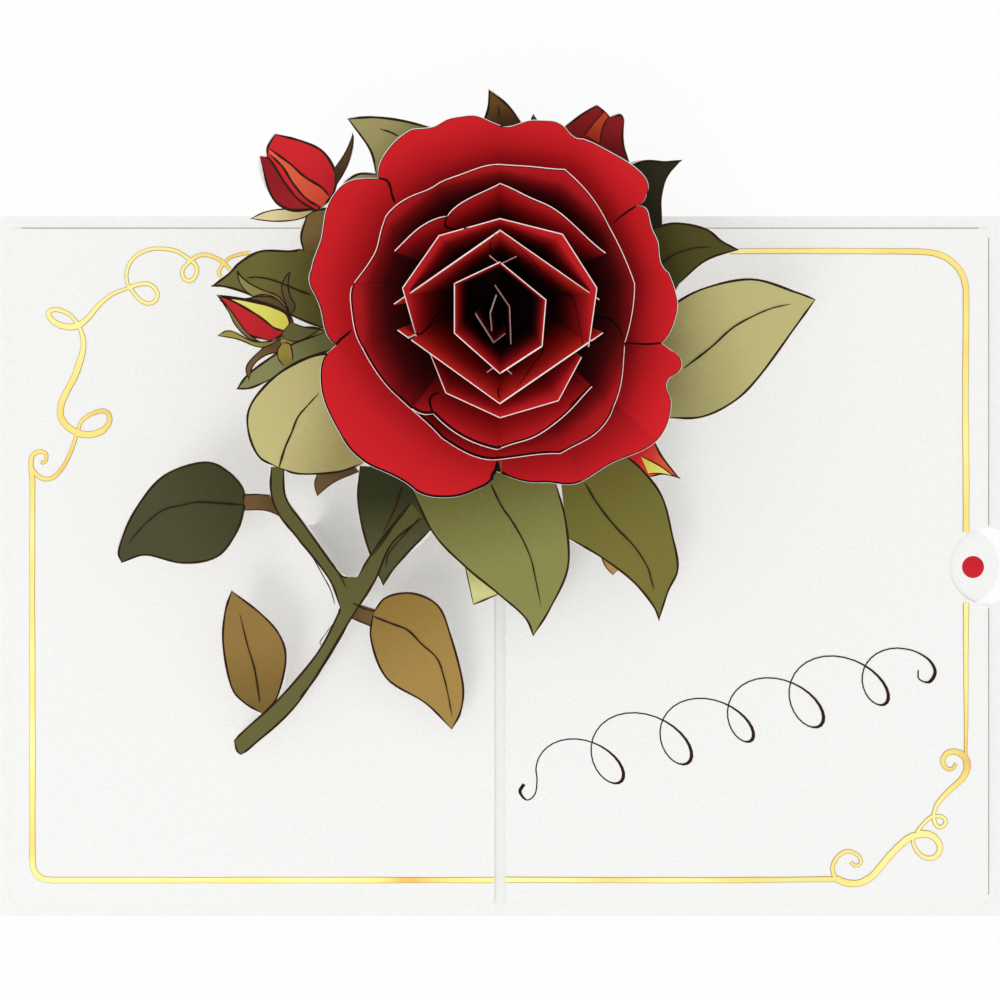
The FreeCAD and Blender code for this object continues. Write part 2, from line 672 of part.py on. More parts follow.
TURN = 360
SIDES = 14
STEP = TURN / SIDES
RING_TAILS = (7.5, 7.5)
STRIPS = [
    Strip("petals_outer_left", ring_corners(SIDES, 100.0, 90, 7), 35.0, 25.75, OUTER_RIM, RING_TAILS, (1, 5)),
    Strip("petals_outer_right", ring_corners(SIDES, 100.0, 270, 7), 35.0, 25.75, OUTER_RIM, RING_TAILS, (1, 5)),
    Strip("petals_second_upper", ring_corners(SIDES, 75.0, -STEP / 2, 7), 50.0, 53.5, SECOND_UPPER_RIM,
          RING_TAILS, (0, 6)),
    Strip("petals_second_lower", ring_corners(SIDES, 75.0, TURN / 2 - STEP / 2, 7), 50.0, 53.5,
          SECOND_LOWER_RIM, RING_TAILS, (0, 6)),
    Strip("petals_third_upper", [polar(31, 63.75), polar(90, 68.75), polar(148, 63.0)], 57.5, 68.75,
          THIRD_UPPER_RIM, (0, 0), (0, 1)),
    Strip("petals_third_lower", [polar(226, 66.25), polar(270, 68.75), polar(323, 60.25)], 57.5, 68.75,
          THIRD_LOWER_RIM, (0, 0), (0, 1)),
    Strip("petals_fourth_upper", ring_corners(10, 49.5, -18, 6), 65.0, 92.5,
          [0.975, 1.035, 1.06, 1.005, 1.04, 1.04, 0.915], (0, 0), (1, 4)),
    Strip("petals_fourth_lower", [polar(205.5, 47.9)] + ring_corners(10, 49.5, 234, 2) + [polar(334.3, 47.75)],
          65.0, 92.5, [0.88, 0.975, 1.025, 1.035, 0.98], (0, 0), (0, 3)),
    Strip("petals_fifth_upper", [(52.25, 9.75), (0.0, 44.25), (-55.75, 7.5)], 67.5, 98.5,
          [0.97, 1.0, 0.97], (0, 0), (0, 1)),
    Strip("petals_fifth_lower", [(-54.25, -6.5), (0.0, -43.75), (54.5, -8.0)], 67.5, 98.5,
          [0.97, 1.0, 0.97], (0, 0), (0, 1)),
    Strip("petals_inner_left", [(0.0, 28.5), (-23.25, 17.75), (-23.5, -7.5), (0.0, -28.5)], 65.0, 180.0,
          [1.0, 1.0, 1.0, 1.0], (10.0, 9.0), (1,)),
    Strip("petals_inner_right", [(0.0, -28.5), (21.75, -14.25), (23.5, 9.5), (0.0, 28.5)], 65.0, 180.0,
          [1.0, 1.0, 1.0, 1.0], (9.0, 7.5), (1,)),
    Strip("heart_left", [(-2.25, 10.5), (-5.5, 1.0), (-4.5, -8.5)], 47.5, 180.0, [1.0, 1.0, 1.0]),
    Strip("heart_right", [(6.0, -15.0), (5.25, 4.5), (-2.5, 15.75)], 50.0, 180.0, [1.0, 1.0, 1.0]),
    Strip("heart_fold", [(-13.25, 0.25), (-3.5, -15.25), (3.0, -10.25)], 45.0, 180.0, [1.0, 1.0, 1.0]),
]

# Seams: the first strip is slotted from below, the second from above
SEAMS = [
    ("petals_outer_left", "petals_outer_right"),
    ("petals_second_upper", "petals_second_lower"),
    ("petals_fourth_upper", "petals_fifth_upper"),
    ("petals_fourth_upper", "petals_fifth_lower"),
    ("petals_inner_left", "petals_inner_right"),
]
SLOT_SHARE = 0.55
SLAB_LOW = 0.3
SLAB_HIGH = 1.5


def slotted_strips():
    """All strips in the rose's own frame, with half-lap slots where two cross."""
    strips = {strip.label: strip for strip in STRIPS}
    shapes = {label: strip.build() for label, strip in strips.items()}
    span = size("rose_distance")
    for upper, lower in SEAMS:
        meeting = strips[lower].corners[0].z * SLOT_SHARE
        above = Part.makeBox(2 * span, 2 * span, span, Vec(-span, -span, meeting))
        below = Part.makeBox(2 * span, 2 * span, span, Vec(-span, -span, meeting - span))
        upper_slab = strips[upper].slab(SLAB_LOW, SLAB_HIGH)
        lower_slab = strips[lower].slab(SLAB_LOW, SLAB_HIGH)
        shapes[upper] = shapes[upper].cut(lower_slab.common(below))
        shapes[lower] = shapes[lower].cut(upper_slab.common(above))
    return shapes


# Supports: folded walls on lines through the fold point carry the sheet
def prism(points, push):
    return Part.Face(Part.makePolygon(points + points[:1])).extrude(push)


def under_sheet(point):
    """The point straight above or below, on the underside of the sheet."""
    return Vec(point.x, point.y, liner_top + math.tan(tilt) * (point.y + size("fold_point")))


def wall_shape(angle, start, length, foot_level, foot, glue, side):
    """An upright wall at an angle from the fold, with a foot and a glue flange to one side."""
    thick = size("support_thickness")
    bearing = Vec(math.sin(math.radians(angle)), math.cos(math.radians(angle)), 0)
    across = Vec(bearing.y, -bearing.x, 0) * side
    origin = Vec(0, -size("fold_point"), foot_level)
    near, far = origin + bearing * start, origin + bearing * (start + length)
    sink = UP * (thick / 2)
    wall = prism([near, far, under_sheet(far) - sink, under_sheet(near) - sink], across * thick)
    base = prism([near, far, far + across * foot, near + across * foot], UP * thick)
    glued = [under_sheet(point) for point in (near, far, far + across * glue, near + across * glue)]
    flange = prism(glued, sheet_place.Rotation.multVec(UP) * -thick)
    return wall.multiFuse([base, flange]).removeSplitter()


def make_supports():
    foot, glue = size("foot_width"), size("glue_width")
    pocket_end = size("card_depth") / 2 - size("liner_edge") - size("foam_width")
    spine_length = pocket_end - size("foam_gap") + size("fold_point") - size("spine_start")
    spine = (0, size("spine_start"), spine_length, cover_top, foot, glue)
    side = (size("side_start"), size("side_length"), liner_top, glue, glue)
    branch = (size("branch_start"), size("branch_length"), liner_top, glue, glue / 2)
    angle = size("side_angle")
    return {
        "spine_wall_left": wall_shape(*spine, -1),
        "spine_wall_right": wall_shape(*spine, 1),
        "side_wall_left": wall_shape(-angle, *side, 1),
        "side_wall_right": wall_shape(angle, *side, -1),
        "branch_wall": wall_shape(-size("branch_angle"), *branch, 1),
    }


def add_shape(label, shape):
    feature = doc.addObject("Part::Feature", label)
    feature.Shape = shape
    feature.Label = label
    return feature


nodes = [make_cover()]
liner_left = make_liner("liner_left", f"-{LINER_OUT}")
liner_left.Label = "liner_left"
nodes += [liner_left, make_liner_right(), *make_foams(), make_note()]
for name, shape in make_supports().items():
    nodes.append(add_shape(name, shape))

slits = []
for strip in STRIPS:
    for facet in strip.tongues:
        slit = strip.tongue(facet, size("slot_clearance"))
        slit.Placement = rose_place
        slits.append(slit)
nodes.append(add_shape("leaf_sheet", make_leaf_sheet(slits)))
for name, shape in slotted_strips().items():
    shape.Placement = rose_place
    nodes.append(add_shape(name, shape))

doc.recompute()
for item in doc.Objects:
    if "Invalid" in item.State or "Error" in item.State:
        raise RuntimeError(f"{item.Label} failed: {item.State}")
for node in nodes:
    if node.Shape.isNull() or not node.Shape.isValid():
        raise RuntimeError(f"{node.Label} has no valid shape")

os.makedirs("parts", exist_ok=True)
for node in nodes:
    print(node.Label, len(node.Shape.Solids), round(node.Shape.Volume, 2))
    node.Shape.exportStep(f"parts/{node.Label}.step")
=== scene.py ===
import math

import bpy
from mathutils import Matrix, Vector
from mathutils.bvhtree import BVHTree
from mathutils.geometry import tessellate_polygon


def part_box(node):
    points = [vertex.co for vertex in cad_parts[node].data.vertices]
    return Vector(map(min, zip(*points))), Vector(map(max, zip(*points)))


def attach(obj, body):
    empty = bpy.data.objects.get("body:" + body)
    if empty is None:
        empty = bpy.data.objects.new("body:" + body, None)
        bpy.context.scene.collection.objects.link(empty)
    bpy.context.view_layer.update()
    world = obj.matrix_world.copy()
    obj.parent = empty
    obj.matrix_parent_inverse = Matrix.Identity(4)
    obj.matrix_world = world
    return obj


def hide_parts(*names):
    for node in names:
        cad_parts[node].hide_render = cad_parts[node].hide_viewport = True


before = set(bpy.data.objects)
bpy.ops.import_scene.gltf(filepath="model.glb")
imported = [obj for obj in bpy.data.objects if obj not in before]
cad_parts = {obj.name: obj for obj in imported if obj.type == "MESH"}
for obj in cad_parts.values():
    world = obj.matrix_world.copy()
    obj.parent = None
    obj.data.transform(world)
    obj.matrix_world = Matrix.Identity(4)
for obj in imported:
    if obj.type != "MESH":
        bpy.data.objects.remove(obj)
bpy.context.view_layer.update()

# Sizes in metres. The view is a square of VIEW_SIZE units, seen from the eye straight above.
MM = 0.001
UNIT = 0.2545 * MM
VIEW_SIZE = 1000
MIDDLE = VIEW_SIZE / 2
EYE = Vector((0, 16.8 * MM, 300 * MM))
LINER_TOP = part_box("liner_left")[1].z
NOTE_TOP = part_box("note_card")[1].z
SHEET_TILT = math.radians(15)
FOLD_POINT = Vector((0, -64 * MM, LINER_TOP))
SHEET_THICKNESS = 0.3 * MM
ROSE_DISTANCE = 128.9 * MM
UP = Vector((0, 0, 1))

sheet_turn = Matrix.Rotation(SHEET_TILT, 4, "X")
SHEET_NORMAL = sheet_turn @ UP
SHEET_TOP = FOLD_POINT + SHEET_NORMAL * SHEET_THICKNESS
ROSE_SEAT = Matrix.Translation(SHEET_TOP) @ sheet_turn @ Matrix.Translation((0, ROSE_DISTANCE, 0))
CARD = "card"

# Painted shade under the rose: the radius of the dark seat, and the widest slit that the dark ground
# crosses
SHADED_SEAT_RADIUS = 18 * MM
SEAT_LIFT = 0.007 * MM
GROUND_GAP = 3 * MM
GROUND_LIFT = 0.003 * MM
GROUND_STEP = 0.5 * MM
GROUND_MARGIN = 0.6 * MM

# Light: the sky's strength, the key lamp, and how much of the floor's own light the eye sees
SKY_LIGHT = 0.88
KEY_POWER = 12.5
KEY_SIZE = 1.1
KEY_PLACE = (-0.8, -1.1, 2.4)
FLOOR_GLOW = 0.85
FLOOR_SIZE = 3.0


# Colours
def linear(code):
    """A linear colour from a hex code, as the view shows it."""
    parts = [int(code[i : i + 2], 16) / 255 for i in (0, 2, 4)]
    return (*(c / 12.92 if c < 0.04045 else ((c + 0.055) / 1.055) ** 2.4 for c in parts), 1.0)


# Places
def sight(across, down):
    """The direction from the eye through a point of the view."""
    return Vector(((across - MIDDLE) * UNIT, (MIDDLE - down) * UNIT, -EYE.z)).normalized()


def on_plane(across, down, point, normal):
    way = sight(across, down)
    return EYE + way * ((point - EYE).dot(normal) / way.dot(normal))


def on_sheet(across, down):
    return on_plane(across, down, SHEET_TOP, SHEET_NORMAL)


def on_page(across, down):
    return on_plane(across, down, Vector((0, 0, LINER_TOP)), UP)


# Curves
def smooth(points, steps=7):
    """A Catmull-Rom curve through the points; two points stay a straight line."""
    if len(points) < 3:
        return [Vector(p) for p in points]
    knots = [Vector(p) for p in points]
    knots = [knots[0] * 2 - knots[1], *knots, knots[-1] * 2 - knots[-2]]
    curve = []
    for a, b, c, d in zip(knots, knots[1:], knots[2:], knots[3:]):
        for step in range(steps):
            t = step / steps
            curve.append(
                0.5 * ((2 * b) + (c - a) * t + (2 * a - 5 * b + 4 * c - d) * t**2
                       + (3 * b - a - 3 * c + d) * t**3)
            )
    curve.append(knots[-2])
    return curve


def closed_runs(chain):
    """Each run of a shape together with the corner that the next run starts from."""
    return [run + after[:1] for run, after in zip(chain, chain[1:] + chain[:1])]


def ring_of(runs):
    """The closed outline of a shape's runs, without doubled points."""
    ring = []
    for run in runs:
        for point in smooth(run):
            if not ring or (point - ring[-1]).length > 0.05:
                ring.append(point)
    while (ring[0] - ring[-1]).length < 0.05:
        ring.pop()
    return ring


def turned_area(ring):
    return sum(a.x * b.y - b.x * a.y for a, b in zip(ring, ring[1:] + ring[:1])) / 2


def inset(ring, depth):
    """The outline moved inwards, so that the card's white edge shows round the print."""
    side = 1 if turned_area(ring) > 0 else -1
    moved = []
    for before, here, after in zip(ring[-1:] + ring[:-1], ring, ring[1:] + ring[:1]):
        first, second = (here - before).normalized(), (after - here).normalized()
        normal = Vector((-first.y - second.y, first.x + second.x))
        if normal.length < 1e-6:
            moved.append(here.copy())
            continue
        normal.normalize()
        lean = max(0.5, normal.dot(Vector((-first.y, first.x))))
        moved.append(here + normal * (side * depth / lean))
    return moved


# Meshes
class Print:
    """A thin printed layer: faces with one value per point that its material reads."""

    def __init__(self):
        self.points = []
        self.faces = []
        self.values = []
        self.slots = []

    def area(self, points, values, slot=0):
        first = len(self.points)
        self.points += points
        self.values += values
        flat = [Vector((p.x, p.y, 0)) for p in points]
        for triangle in tessellate_polygon([flat]):
            a, b, c = (flat[i] for i in triangle)
            order = triangle if (b - a).cross(c - a).z > 0 else triangle[::-1]
            self.faces.append([first + i for i in order])
            self.slots.append(slot)

    def ribbon(self, points, normals, widths, slot=0):
        """A flat band along points, facing their normals."""
        first = len(self.points)
        count = len(points)
        for i in range(count):
            way = points[min(i + 1, count - 1)] - points[max(i - 1, 0)]
            side = normals[i].cross(way)
            if side.length < 1e-12:
                side = Vector((1e-6, 0, 0))
            side = side.normalized() * widths[i] / 2
            self.points += [points[i] - side, points[i] + side]
            self.values += [i / (count - 1)] * 2
        for i in range(count - 1):
            a = first + 2 * i
            self.faces.append([a, a + 2, a + 3, a + 1])
            self.slots.append(slot)

    def piece(self, name, materials, body=CARD):
        mesh = bpy.data.meshes.new(name)
        mesh.from_pydata([tuple(p) for p in self.points], [], self.faces)
        layer = mesh.attributes.new("shade", "FLOAT", "POINT")
        layer.data.foreach_set("value", self.values)
        for material in materials:
            mesh.materials.append(material)
        mesh.polygons.foreach_set("material_index", self.slots)
        mesh.update()
        return show(name, mesh, body)


def show(name, mesh, body=CARD):
    item = bpy.data.objects.new(name, mesh)
    bpy.context.scene.collection.objects.link(item)
    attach(item, body)
    return item


# Materials
def new_material(name):
    material = bpy.data.materials.new(name)
    material.use_nodes = True
    nodes = material.node_tree.nodes
    return material, nodes, material.node_tree.links, nodes["Principled BSDF"]


def grain(nodes, links, scale, strength, distance, shader):
    """Paper tooth: a fine noise that bumps the surface."""
    place = nodes.new("ShaderNodeTexCoord")
    noise = nodes.new("ShaderNodeTexNoise")
    noise.inputs["Scale"].default_value = scale
    noise.inputs["Detail"].default_value = 6
    bump = nodes.new("ShaderNodeBump")
    bump.inputs["Strength"].default_value = strength
    bump.inputs["Distance"].default_value = distance
    links.new(place.outputs["Object"], noise.inputs["Vector"])
    links.new(noise.outputs["Fac"], bump.inputs["Height"])
    links.new(bump.outputs["Normal"], shader.inputs["Normal"])
    return noise


def ramp_of(nodes, stops):
    ramp = nodes.new("ShaderNodeValToRGB")
    elements = ramp.color_ramp.elements
    while len(elements) > 1:
        elements.remove(elements[-1])
    elements[0].position = stops[0][0]
    elements[0].color = linear(stops[0][1])
    for place, code in stops[1:]:
        elements.new(place).color = linear(code)
    return ramp


def paper(name, light, dark, roughness=0.75):
    """White card: a slight mottle of two whites and a fine tooth."""
    material, nodes, links, shader = new_material(name)
    noise = grain(nodes, links, 1400, 0.12, 0.00004, shader)
    ramp = ramp_of(nodes, [(0.3, dark), (0.65, light)])
    links.new(noise.outputs["Fac"], ramp.inputs["Fac"])
    links.new(ramp.outputs["Color"], shader.inputs["Base Color"])
    shader.inputs["Roughness"].default_value = roughness
    return material


def shaded(name, stops, mottle=0.08, roughness=0.75):
    """Print whose colour runs along the shade value, with a slight mottle."""
    material, nodes, links, shader = new_material(name)
    noise = grain(nodes, links, 900, 0.1, 0.00003, shader)
    value = nodes.new("ShaderNodeAttribute")
    value.attribute_name = "shade"
    spread = nodes.new("ShaderNodeMath")
    spread.operation = "MULTIPLY_ADD"
    spread.inputs[1].default_value = mottle
    links.new(noise.outputs["Fac"], spread.inputs[0])
    links.new(value.outputs["Fac"], spread.inputs[2])
    shift = nodes.new("ShaderNodeMath")
    shift.operation = "SUBTRACT"
    shift.inputs[1].default_value = mottle / 2
    links.new(spread.outputs[0], shift.inputs[0])
    ramp = ramp_of(nodes, stops)
    links.new(shift.outputs[0], ramp.inputs["Fac"])
    links.new(ramp.outputs["Color"], shader.inputs["Base Color"])
    shader.inputs["Roughness"].default_value = roughness
    shader.inputs["Specular IOR Level"].default_value = 0.12
    return material


def foil():
    """Gold foil: metal whose colour drifts between pale yellow and deep gold, partly its own tint and
    partly painted reflection.
    """
    material, nodes, links, shader = new_material("gold_foil")
    place = nodes.new("ShaderNodeTexCoord")
    noise = nodes.new("ShaderNodeTexNoise")
    noise.inputs["Scale"].default_value = 26
    noise.inputs["Detail"].default_value = 3
    links.new(place.outputs["Object"], noise.inputs["Vector"])
    # the pale yellow stands in for the foil's highlights: painted reflection on the foil's own gold
    ramp = ramp_of(nodes, [(0.3, "E9B75A"), (0.42, "FBE27C"), (0.56, "FFF59C")])
    links.new(noise.outputs["Fac"], ramp.inputs["Fac"])
    links.new(ramp.outputs["Color"], shader.inputs["Base Color"])
    shader.inputs["Metallic"].default_value = 0.3
    shader.inputs["Roughness"].default_value = 0.4
    fine = nodes.new("ShaderNodeTexNoise")
    fine.inputs["Scale"].default_value = 2500
    links.new(place.outputs["Object"], fine.inputs["Vector"])
    bump = nodes.new("ShaderNodeBump")
    bump.inputs["Strength"].default_value = 0.15
    bump.inputs["Distance"].default_value = 0.00003
    links.new(fine.outputs["Fac"], bump.inputs["Height"])
    links.new(bump.outputs["Normal"], shader.inputs["Normal"])
    return material


WHITE_CARD = paper("white_card", "F7F7F5", "F1F1EF")
COVER_CARD = paper("cover_card", "F6F6F4", "F1F1EF")
CUT_EDGE = paper("cut_edge", "F6F1EC", "E6DFD8")
FOAM = paper("foam", "F4F4F0", "E2E2DC", 0.95)
INK = shaded("brown_ink", [(0.0, "26150A"), (0.5, "341C0C"), (1.0, "26150A")], 0.3)
BLACK_INK = shaded("black_ink", [(0.0, "140405"), (0.5, "1C0607"), (1.0, "140405")], 0.3)
GOLD = foil()
FOIL_EDGE = shaded("foil_edge", [(0.0, "B98F45"), (0.5, "CDA552"), (1.0, "B98F45")], 0.3)

# The leaf print: heights of its layers, and the card's bare margin and the ink's width in units of
# the view, for plain shapes and for those smaller than FINE_SHAPE
PRINT_LIFT = 0.01 * MM
PRINT_STEP = 0.006 * MM
STROKE_LIFT = 0.03 * MM
MARGIN = 0.9
INK_MARGIN = 1.3
INK_WIDTH = 2.0
FINE_SHAPE = 900
FINE_MARGIN = 0.5
FINE_INK_MARGIN = 0.8
FINE_INK_WIDTH = 1.1

# Outlines of the drawing: each shape is a closed chain of runs, smooth inside a run, cornered
# between, and each run ends at the first point of the next
FOLIAGE = {
    "top_thorn": [[(533, 113), (530, 124)], [(528, 160)], [(544, 160), (542, 130)]],
    "top_leaf": [[(488, 88), (509, 105)], [(524, 126)], [(500, 160)], [(480, 126), (487, 108)]],
    "top_right_bud": [
        [(562, 128), (582, 113)], [(597, 104), (606, 112)], [(610, 116), (621, 114)],
        [(625, 120), (624, 142)], [(632, 168)], [(580, 190)],
    ],
    "top_right_leaf": [
        [(615, 172), (644, 160), (664, 161)], [(684, 159), (669, 175), (662, 197)], [(663, 226)],
        [(620, 240)], [(600, 190)],
    ],
    "right_leaf": [
        [(648, 229), (675, 222), (706, 228), (722, 240)], [(741, 250), (707, 261)], [(680, 284)],
        [(665, 310)], [(620, 240)],
    ],
    "pale_leaf": [
        [(660, 312), (699, 289), (751, 278), (796, 291)],
        [(817, 299), (796, 328), (761, 376), (735, 402), (702, 418)], [(666, 419)], [(640, 400)],
    ],
    "right_bud": [[(654, 438), (663, 456)], [(682, 480), (665, 475)], [(650, 478)], [(620, 450)]],
    "brown_tip": [[(598, 552), (605, 567)], [(613, 576)], [(620, 569)]],
    "right_low_leaf": [
        [(566, 538), (599, 557), (631, 581), (652, 606)],
        [(659, 623), (669, 592), (679, 568), (673, 533), (663, 496), (642, 468)], [(620, 450)],
        [(560, 480)],
    ],
    "pale_tip": [[(463, 560), (468, 583)], [(473, 606)], [(499, 595)]],
    "shade_leaf": [
        [(359, 465), (357, 503), (366, 545)], [(383, 588), (392, 573), (410, 552)], [(432, 530)],
        [(450, 470)],
    ],
    "low_leaf": [
        [(263, 715), (278, 698), (287, 660), (281, 635), (262, 613)],
        [(231, 589), (224, 612), (222, 644), (230, 686), (243, 703)],
    ],
    "left_leaf_stalk": [[(240, 493)], [(270, 494)], [(280, 517), (265, 511)], [(240, 511)]],
    "left_leaf": [
        [(245, 502), (244, 488), (228, 470), (204, 461), (163, 475), (134, 510), (118, 548)],
        [(121, 564), (146, 556), (182, 564), (217, 558), (237, 534), (245, 510)],
    ],
    "middle_leaf_stalk": [[(350, 601)], [(380, 610)], [(372, 627)], [(346, 617)]],
    "middle_leaf": [
        [(372, 612), (386, 596), (413, 592), (439, 605), (452, 636), (464, 683), (462, 711)],
        [(452, 731), (425, 704), (386, 679), (370, 640)],
    ],
    "stem": [
        [(233, 740), (245, 728), (279, 697), (316, 653), (336, 616)],
        [(339, 607), (328, 579), (297, 539), (278, 515), (270, 493)], [(270, 466)],
        [(285, 466), (287, 497), (306, 525), (339, 571)], [(348, 576)],
        [(357, 576), (368, 557), (384, 534)], [(411, 501)],
        [(424, 518), (393, 544), (376, 581), (352, 619), (300, 702), (255, 745)],
        [(241, 756), (236, 751)],
    ],
    "centre_leaf": [
        [(409, 485), (432, 533), (463, 566), (497, 594), (524, 618)],
        [(533, 638), (551, 609), (569, 568), (567, 522)], [(556, 480)], [(560, 430)], [(420, 430)],
    ],
    "left_leaf_green": [
        [(209, 287), (228, 273), (240, 261), (261, 250), (290, 250)], [(301, 248)], [(330, 250)],
        [(330, 332), (295, 318), (253, 297), (226, 288)],
    ],
    "left_bud_stalk": [
        [(280, 334), (310, 326)], [(332, 332)], [(332, 344), (296, 352)], [(284, 370), (276, 350)],
    ],
    "low_left_leaf": [
        [(235, 390), (247, 374), (268, 358), (292, 343)], [(325, 331)], [(350, 345), (300, 362)],
        [(270, 381), (251, 389)],
    ],
    "thorn": [[(318, 470), (314, 484)], [(317, 497), (334, 483)], [(360, 472)], [(350, 460)]],
    "wide_leaf": [
        [(345, 350), (310, 356), (275, 375), (250, 404), (247, 430), (258, 457)],
        [(279, 469), (300, 475), (338, 473)], [(362, 465)], [(430, 410)],
    ],
    "left_bud_curl": [
        [(280, 336), (262, 348), (246, 366)], [(249, 382), (254, 366), (266, 356)], [(284, 352)],
    ],
    "left_bud": [
        [(215, 294), (240, 297), (268, 303), (288, 312), (294, 324), (286, 334)],
        [(270, 342), (243, 333), (228, 310)],
    ],
    "left_bud_hook": [[(216, 336), (230, 330), (256, 341)], [(285, 338), (262, 348), (238, 340)]],
    "left_bud_sepal": [[(237, 269), (246, 282)], [(262, 289), (262, 297), (246, 292)]],
    "top_left_leaf": [
        [(346, 118), (371, 116), (400, 119)], [(432, 127)], [(430, 175)], [(345, 205)],
        [(343, 182), (358, 173)], [(375, 173), (369, 150)],
    ],
    "top_bud_stalk": [[(307, 212), (300, 236)], [(303, 252)], [(335, 262)], [(352, 205), (322, 208)]],
    "top_bud_hook": [[(249, 219), (266, 211), (288, 208)], [(318, 208), (302, 219), (275, 222)]],
    "top_bud": [
        [(275, 133), (302, 140), (324, 151), (337, 174), (334, 195)],
        [(318, 211), (288, 211), (270, 195)], [(259, 155)], [(266, 156), (267, 146)],
    ],
    "top_bud_sepal": [[(353, 132), (346, 150)], [(334, 168)], [(334, 190), (348, 166), (354, 141)]],
}

# Inks of the foliage: the shape, its colours from the base to the tip, and those two points
LEAF_INKS = {
    "top_thorn": ("3A3018", "4A4020", (535, 150), (533, 113)),
    "top_leaf": ("4A3319", "6B4E28", (500, 125), (488, 90)),
    "top_right_bud": ("5E0C11", "8A1A1C", (600, 160), (605, 105)),
    "top_right_leaf": ("232310", "2C2A16", (640, 200), (680, 160)),
    "right_leaf": ("3C3814", "4E4A1E", (650, 270), (735, 250)),
    "pale_leaf": ("A09A64", "BDB77C", (670, 350), (800, 300)),
    "right_bud": ("C81C26", "E05A3A", (640, 455), (680, 478)),
    "brown_tip": ("8C7034", "A98A4C", (605, 555), (614, 575)),
    "right_low_leaf": ("6C662C", "787236", (600, 480), (660, 615)),
    "pale_tip": ("B5B46E", "CFCE8C", (475, 575), (474, 605)),
    "shade_leaf": ("2F3218", "50502F", (370, 500), (384, 584)),
    "low_leaf": ("78602E", "92743E", (262, 705), (232, 592)),
    "left_leaf_stalk": ("5A4426", "6A5230", (270, 500), (244, 500)),
    "left_leaf": ("3C3D20", "4A4A30", (240, 500), (125, 558)),
    "middle_leaf_stalk": ("5A4426", "6A5230", (354, 610), (376, 616)),
    "middle_leaf": ("8E7236", "A68648", (380, 610), (452, 725)),
    "stem": ("55552A", "666238", (400, 520), (245, 745)),
    "centre_leaf": ("6E6B36", "8A8A4E", (480, 480), (533, 630)),
    "left_leaf_green": ("524E1E", "6C6532", (320, 300), (215, 286)),
    "left_bud_stalk": ("7A6C2C", "958644", (310, 340), (284, 350)),
    "low_left_leaf": ("67683A", "858758", (320, 345), (240, 388)),
    "thorn": ("54402A", "66502F", (340, 470), (316, 492)),
    "wide_leaf": ("A39860", "C5BC80", (350, 440), (262, 390)),
    "left_bud_curl": ("5E4628", "74583A", (275, 345), (249, 378)),
    "left_bud": ("B81E28", "C3242C", (270, 335), (222, 300)),
    "left_bud_hook": ("7F7736", "A0924A", (270, 340), (222, 335)),
    "left_bud_sepal": ("6E6830", "8A8242", (258, 292), (240, 274)),
    "top_left_leaf": ("868050", "A69E68", (410, 160), (352, 122)),
    "top_bud_stalk": ("5E4A26", "7C643A", (325, 250), (312, 216)),
    "top_bud_hook": ("C8B478", "E4D4A0", (300, 212), (256, 218)),
    "top_bud": ("C41E28", "D4242C", (320, 200), (270, 145)),
    "top_bud_sepal": ("3C2C18", "544026", (338, 180), (353, 138)),
}

# Veins and folds drawn in ink: points, width at the start and at the end
LEAF_STROKES = [
    ([(129, 543), (144, 525), (163, 510), (182, 505), (197, 502), (221, 503), (244, 505)], 1.0, 2.0),
    ([(240, 614), (248, 646), (255, 670), (260, 702)], 1.0, 1.8),
    ([(373, 616), (391, 623), (408, 630), (422, 644), (437, 658), (444, 677), (449, 699), (452, 716)],
     2.0, 1.0),
    ([(402, 487), (395, 508), (383, 533)], 2.2, 1.0),
    ([(491, 484), (501, 505), (512, 521), (523, 540), (531, 559), (536, 581), (541, 606)], 1.8, 0.9),
    ([(585, 483), (597, 503), (614, 525), (634, 546), (647, 566), (651, 579), (654, 590)], 1.8, 1.0),
    ([(660, 264), (675, 254), (694, 248), (710, 247)], 1.6, 0.8),
    ([(684, 368), (711, 347), (732, 328), (753, 316), (772, 308), (790, 304)], 2.0, 0.9),
    ([(319, 393), (308, 405), (298, 417), (292, 432), (285, 448), (279, 468)], 1.0, 2.0),
    ([(247, 278), (256, 277), (269, 279), (281, 283), (298, 290), (311, 295)], 1.0, 1.8),
    ([(380, 129), (390, 132), (398, 136)], 1.0, 1.6),
    ([(498, 105), (499, 111), (499, 117)], 0.9, 1.4),
    ([(351, 618), (338, 642), (325, 663), (311, 684), (300, 697)], 1.4, 2.0),
    ([(334, 622), (326, 633), (320.5, 641), (321, 645)], 0.8, 0.9),
    ([(316, 655), (312, 661), (306, 668)], 0.9, 0.6),
    ([(299, 541), (312, 556), (323, 575), (331, 590), (335, 604)], 0.9, 1.2),
    ([(411, 503), (396, 522), (384, 540), (372, 556)], 2.6, 0.9),
    ([(420, 517), (404, 535), (389, 553), (386, 566)], 1.4, 1.0),
    ([(333, 563), (340, 575), (346, 587)], 1.4, 1.0),
    ([(474, 604), (486, 599), (498, 594)], 1.8, 1.2),
    ([(243, 495), (257, 494), (268, 495)], 1.4, 1.2),
    ([(353, 603), (364, 608), (375, 611)], 1.6, 1.4),
    ([(352, 618), (362, 622), (371, 626)], 1.4, 1.2),
]

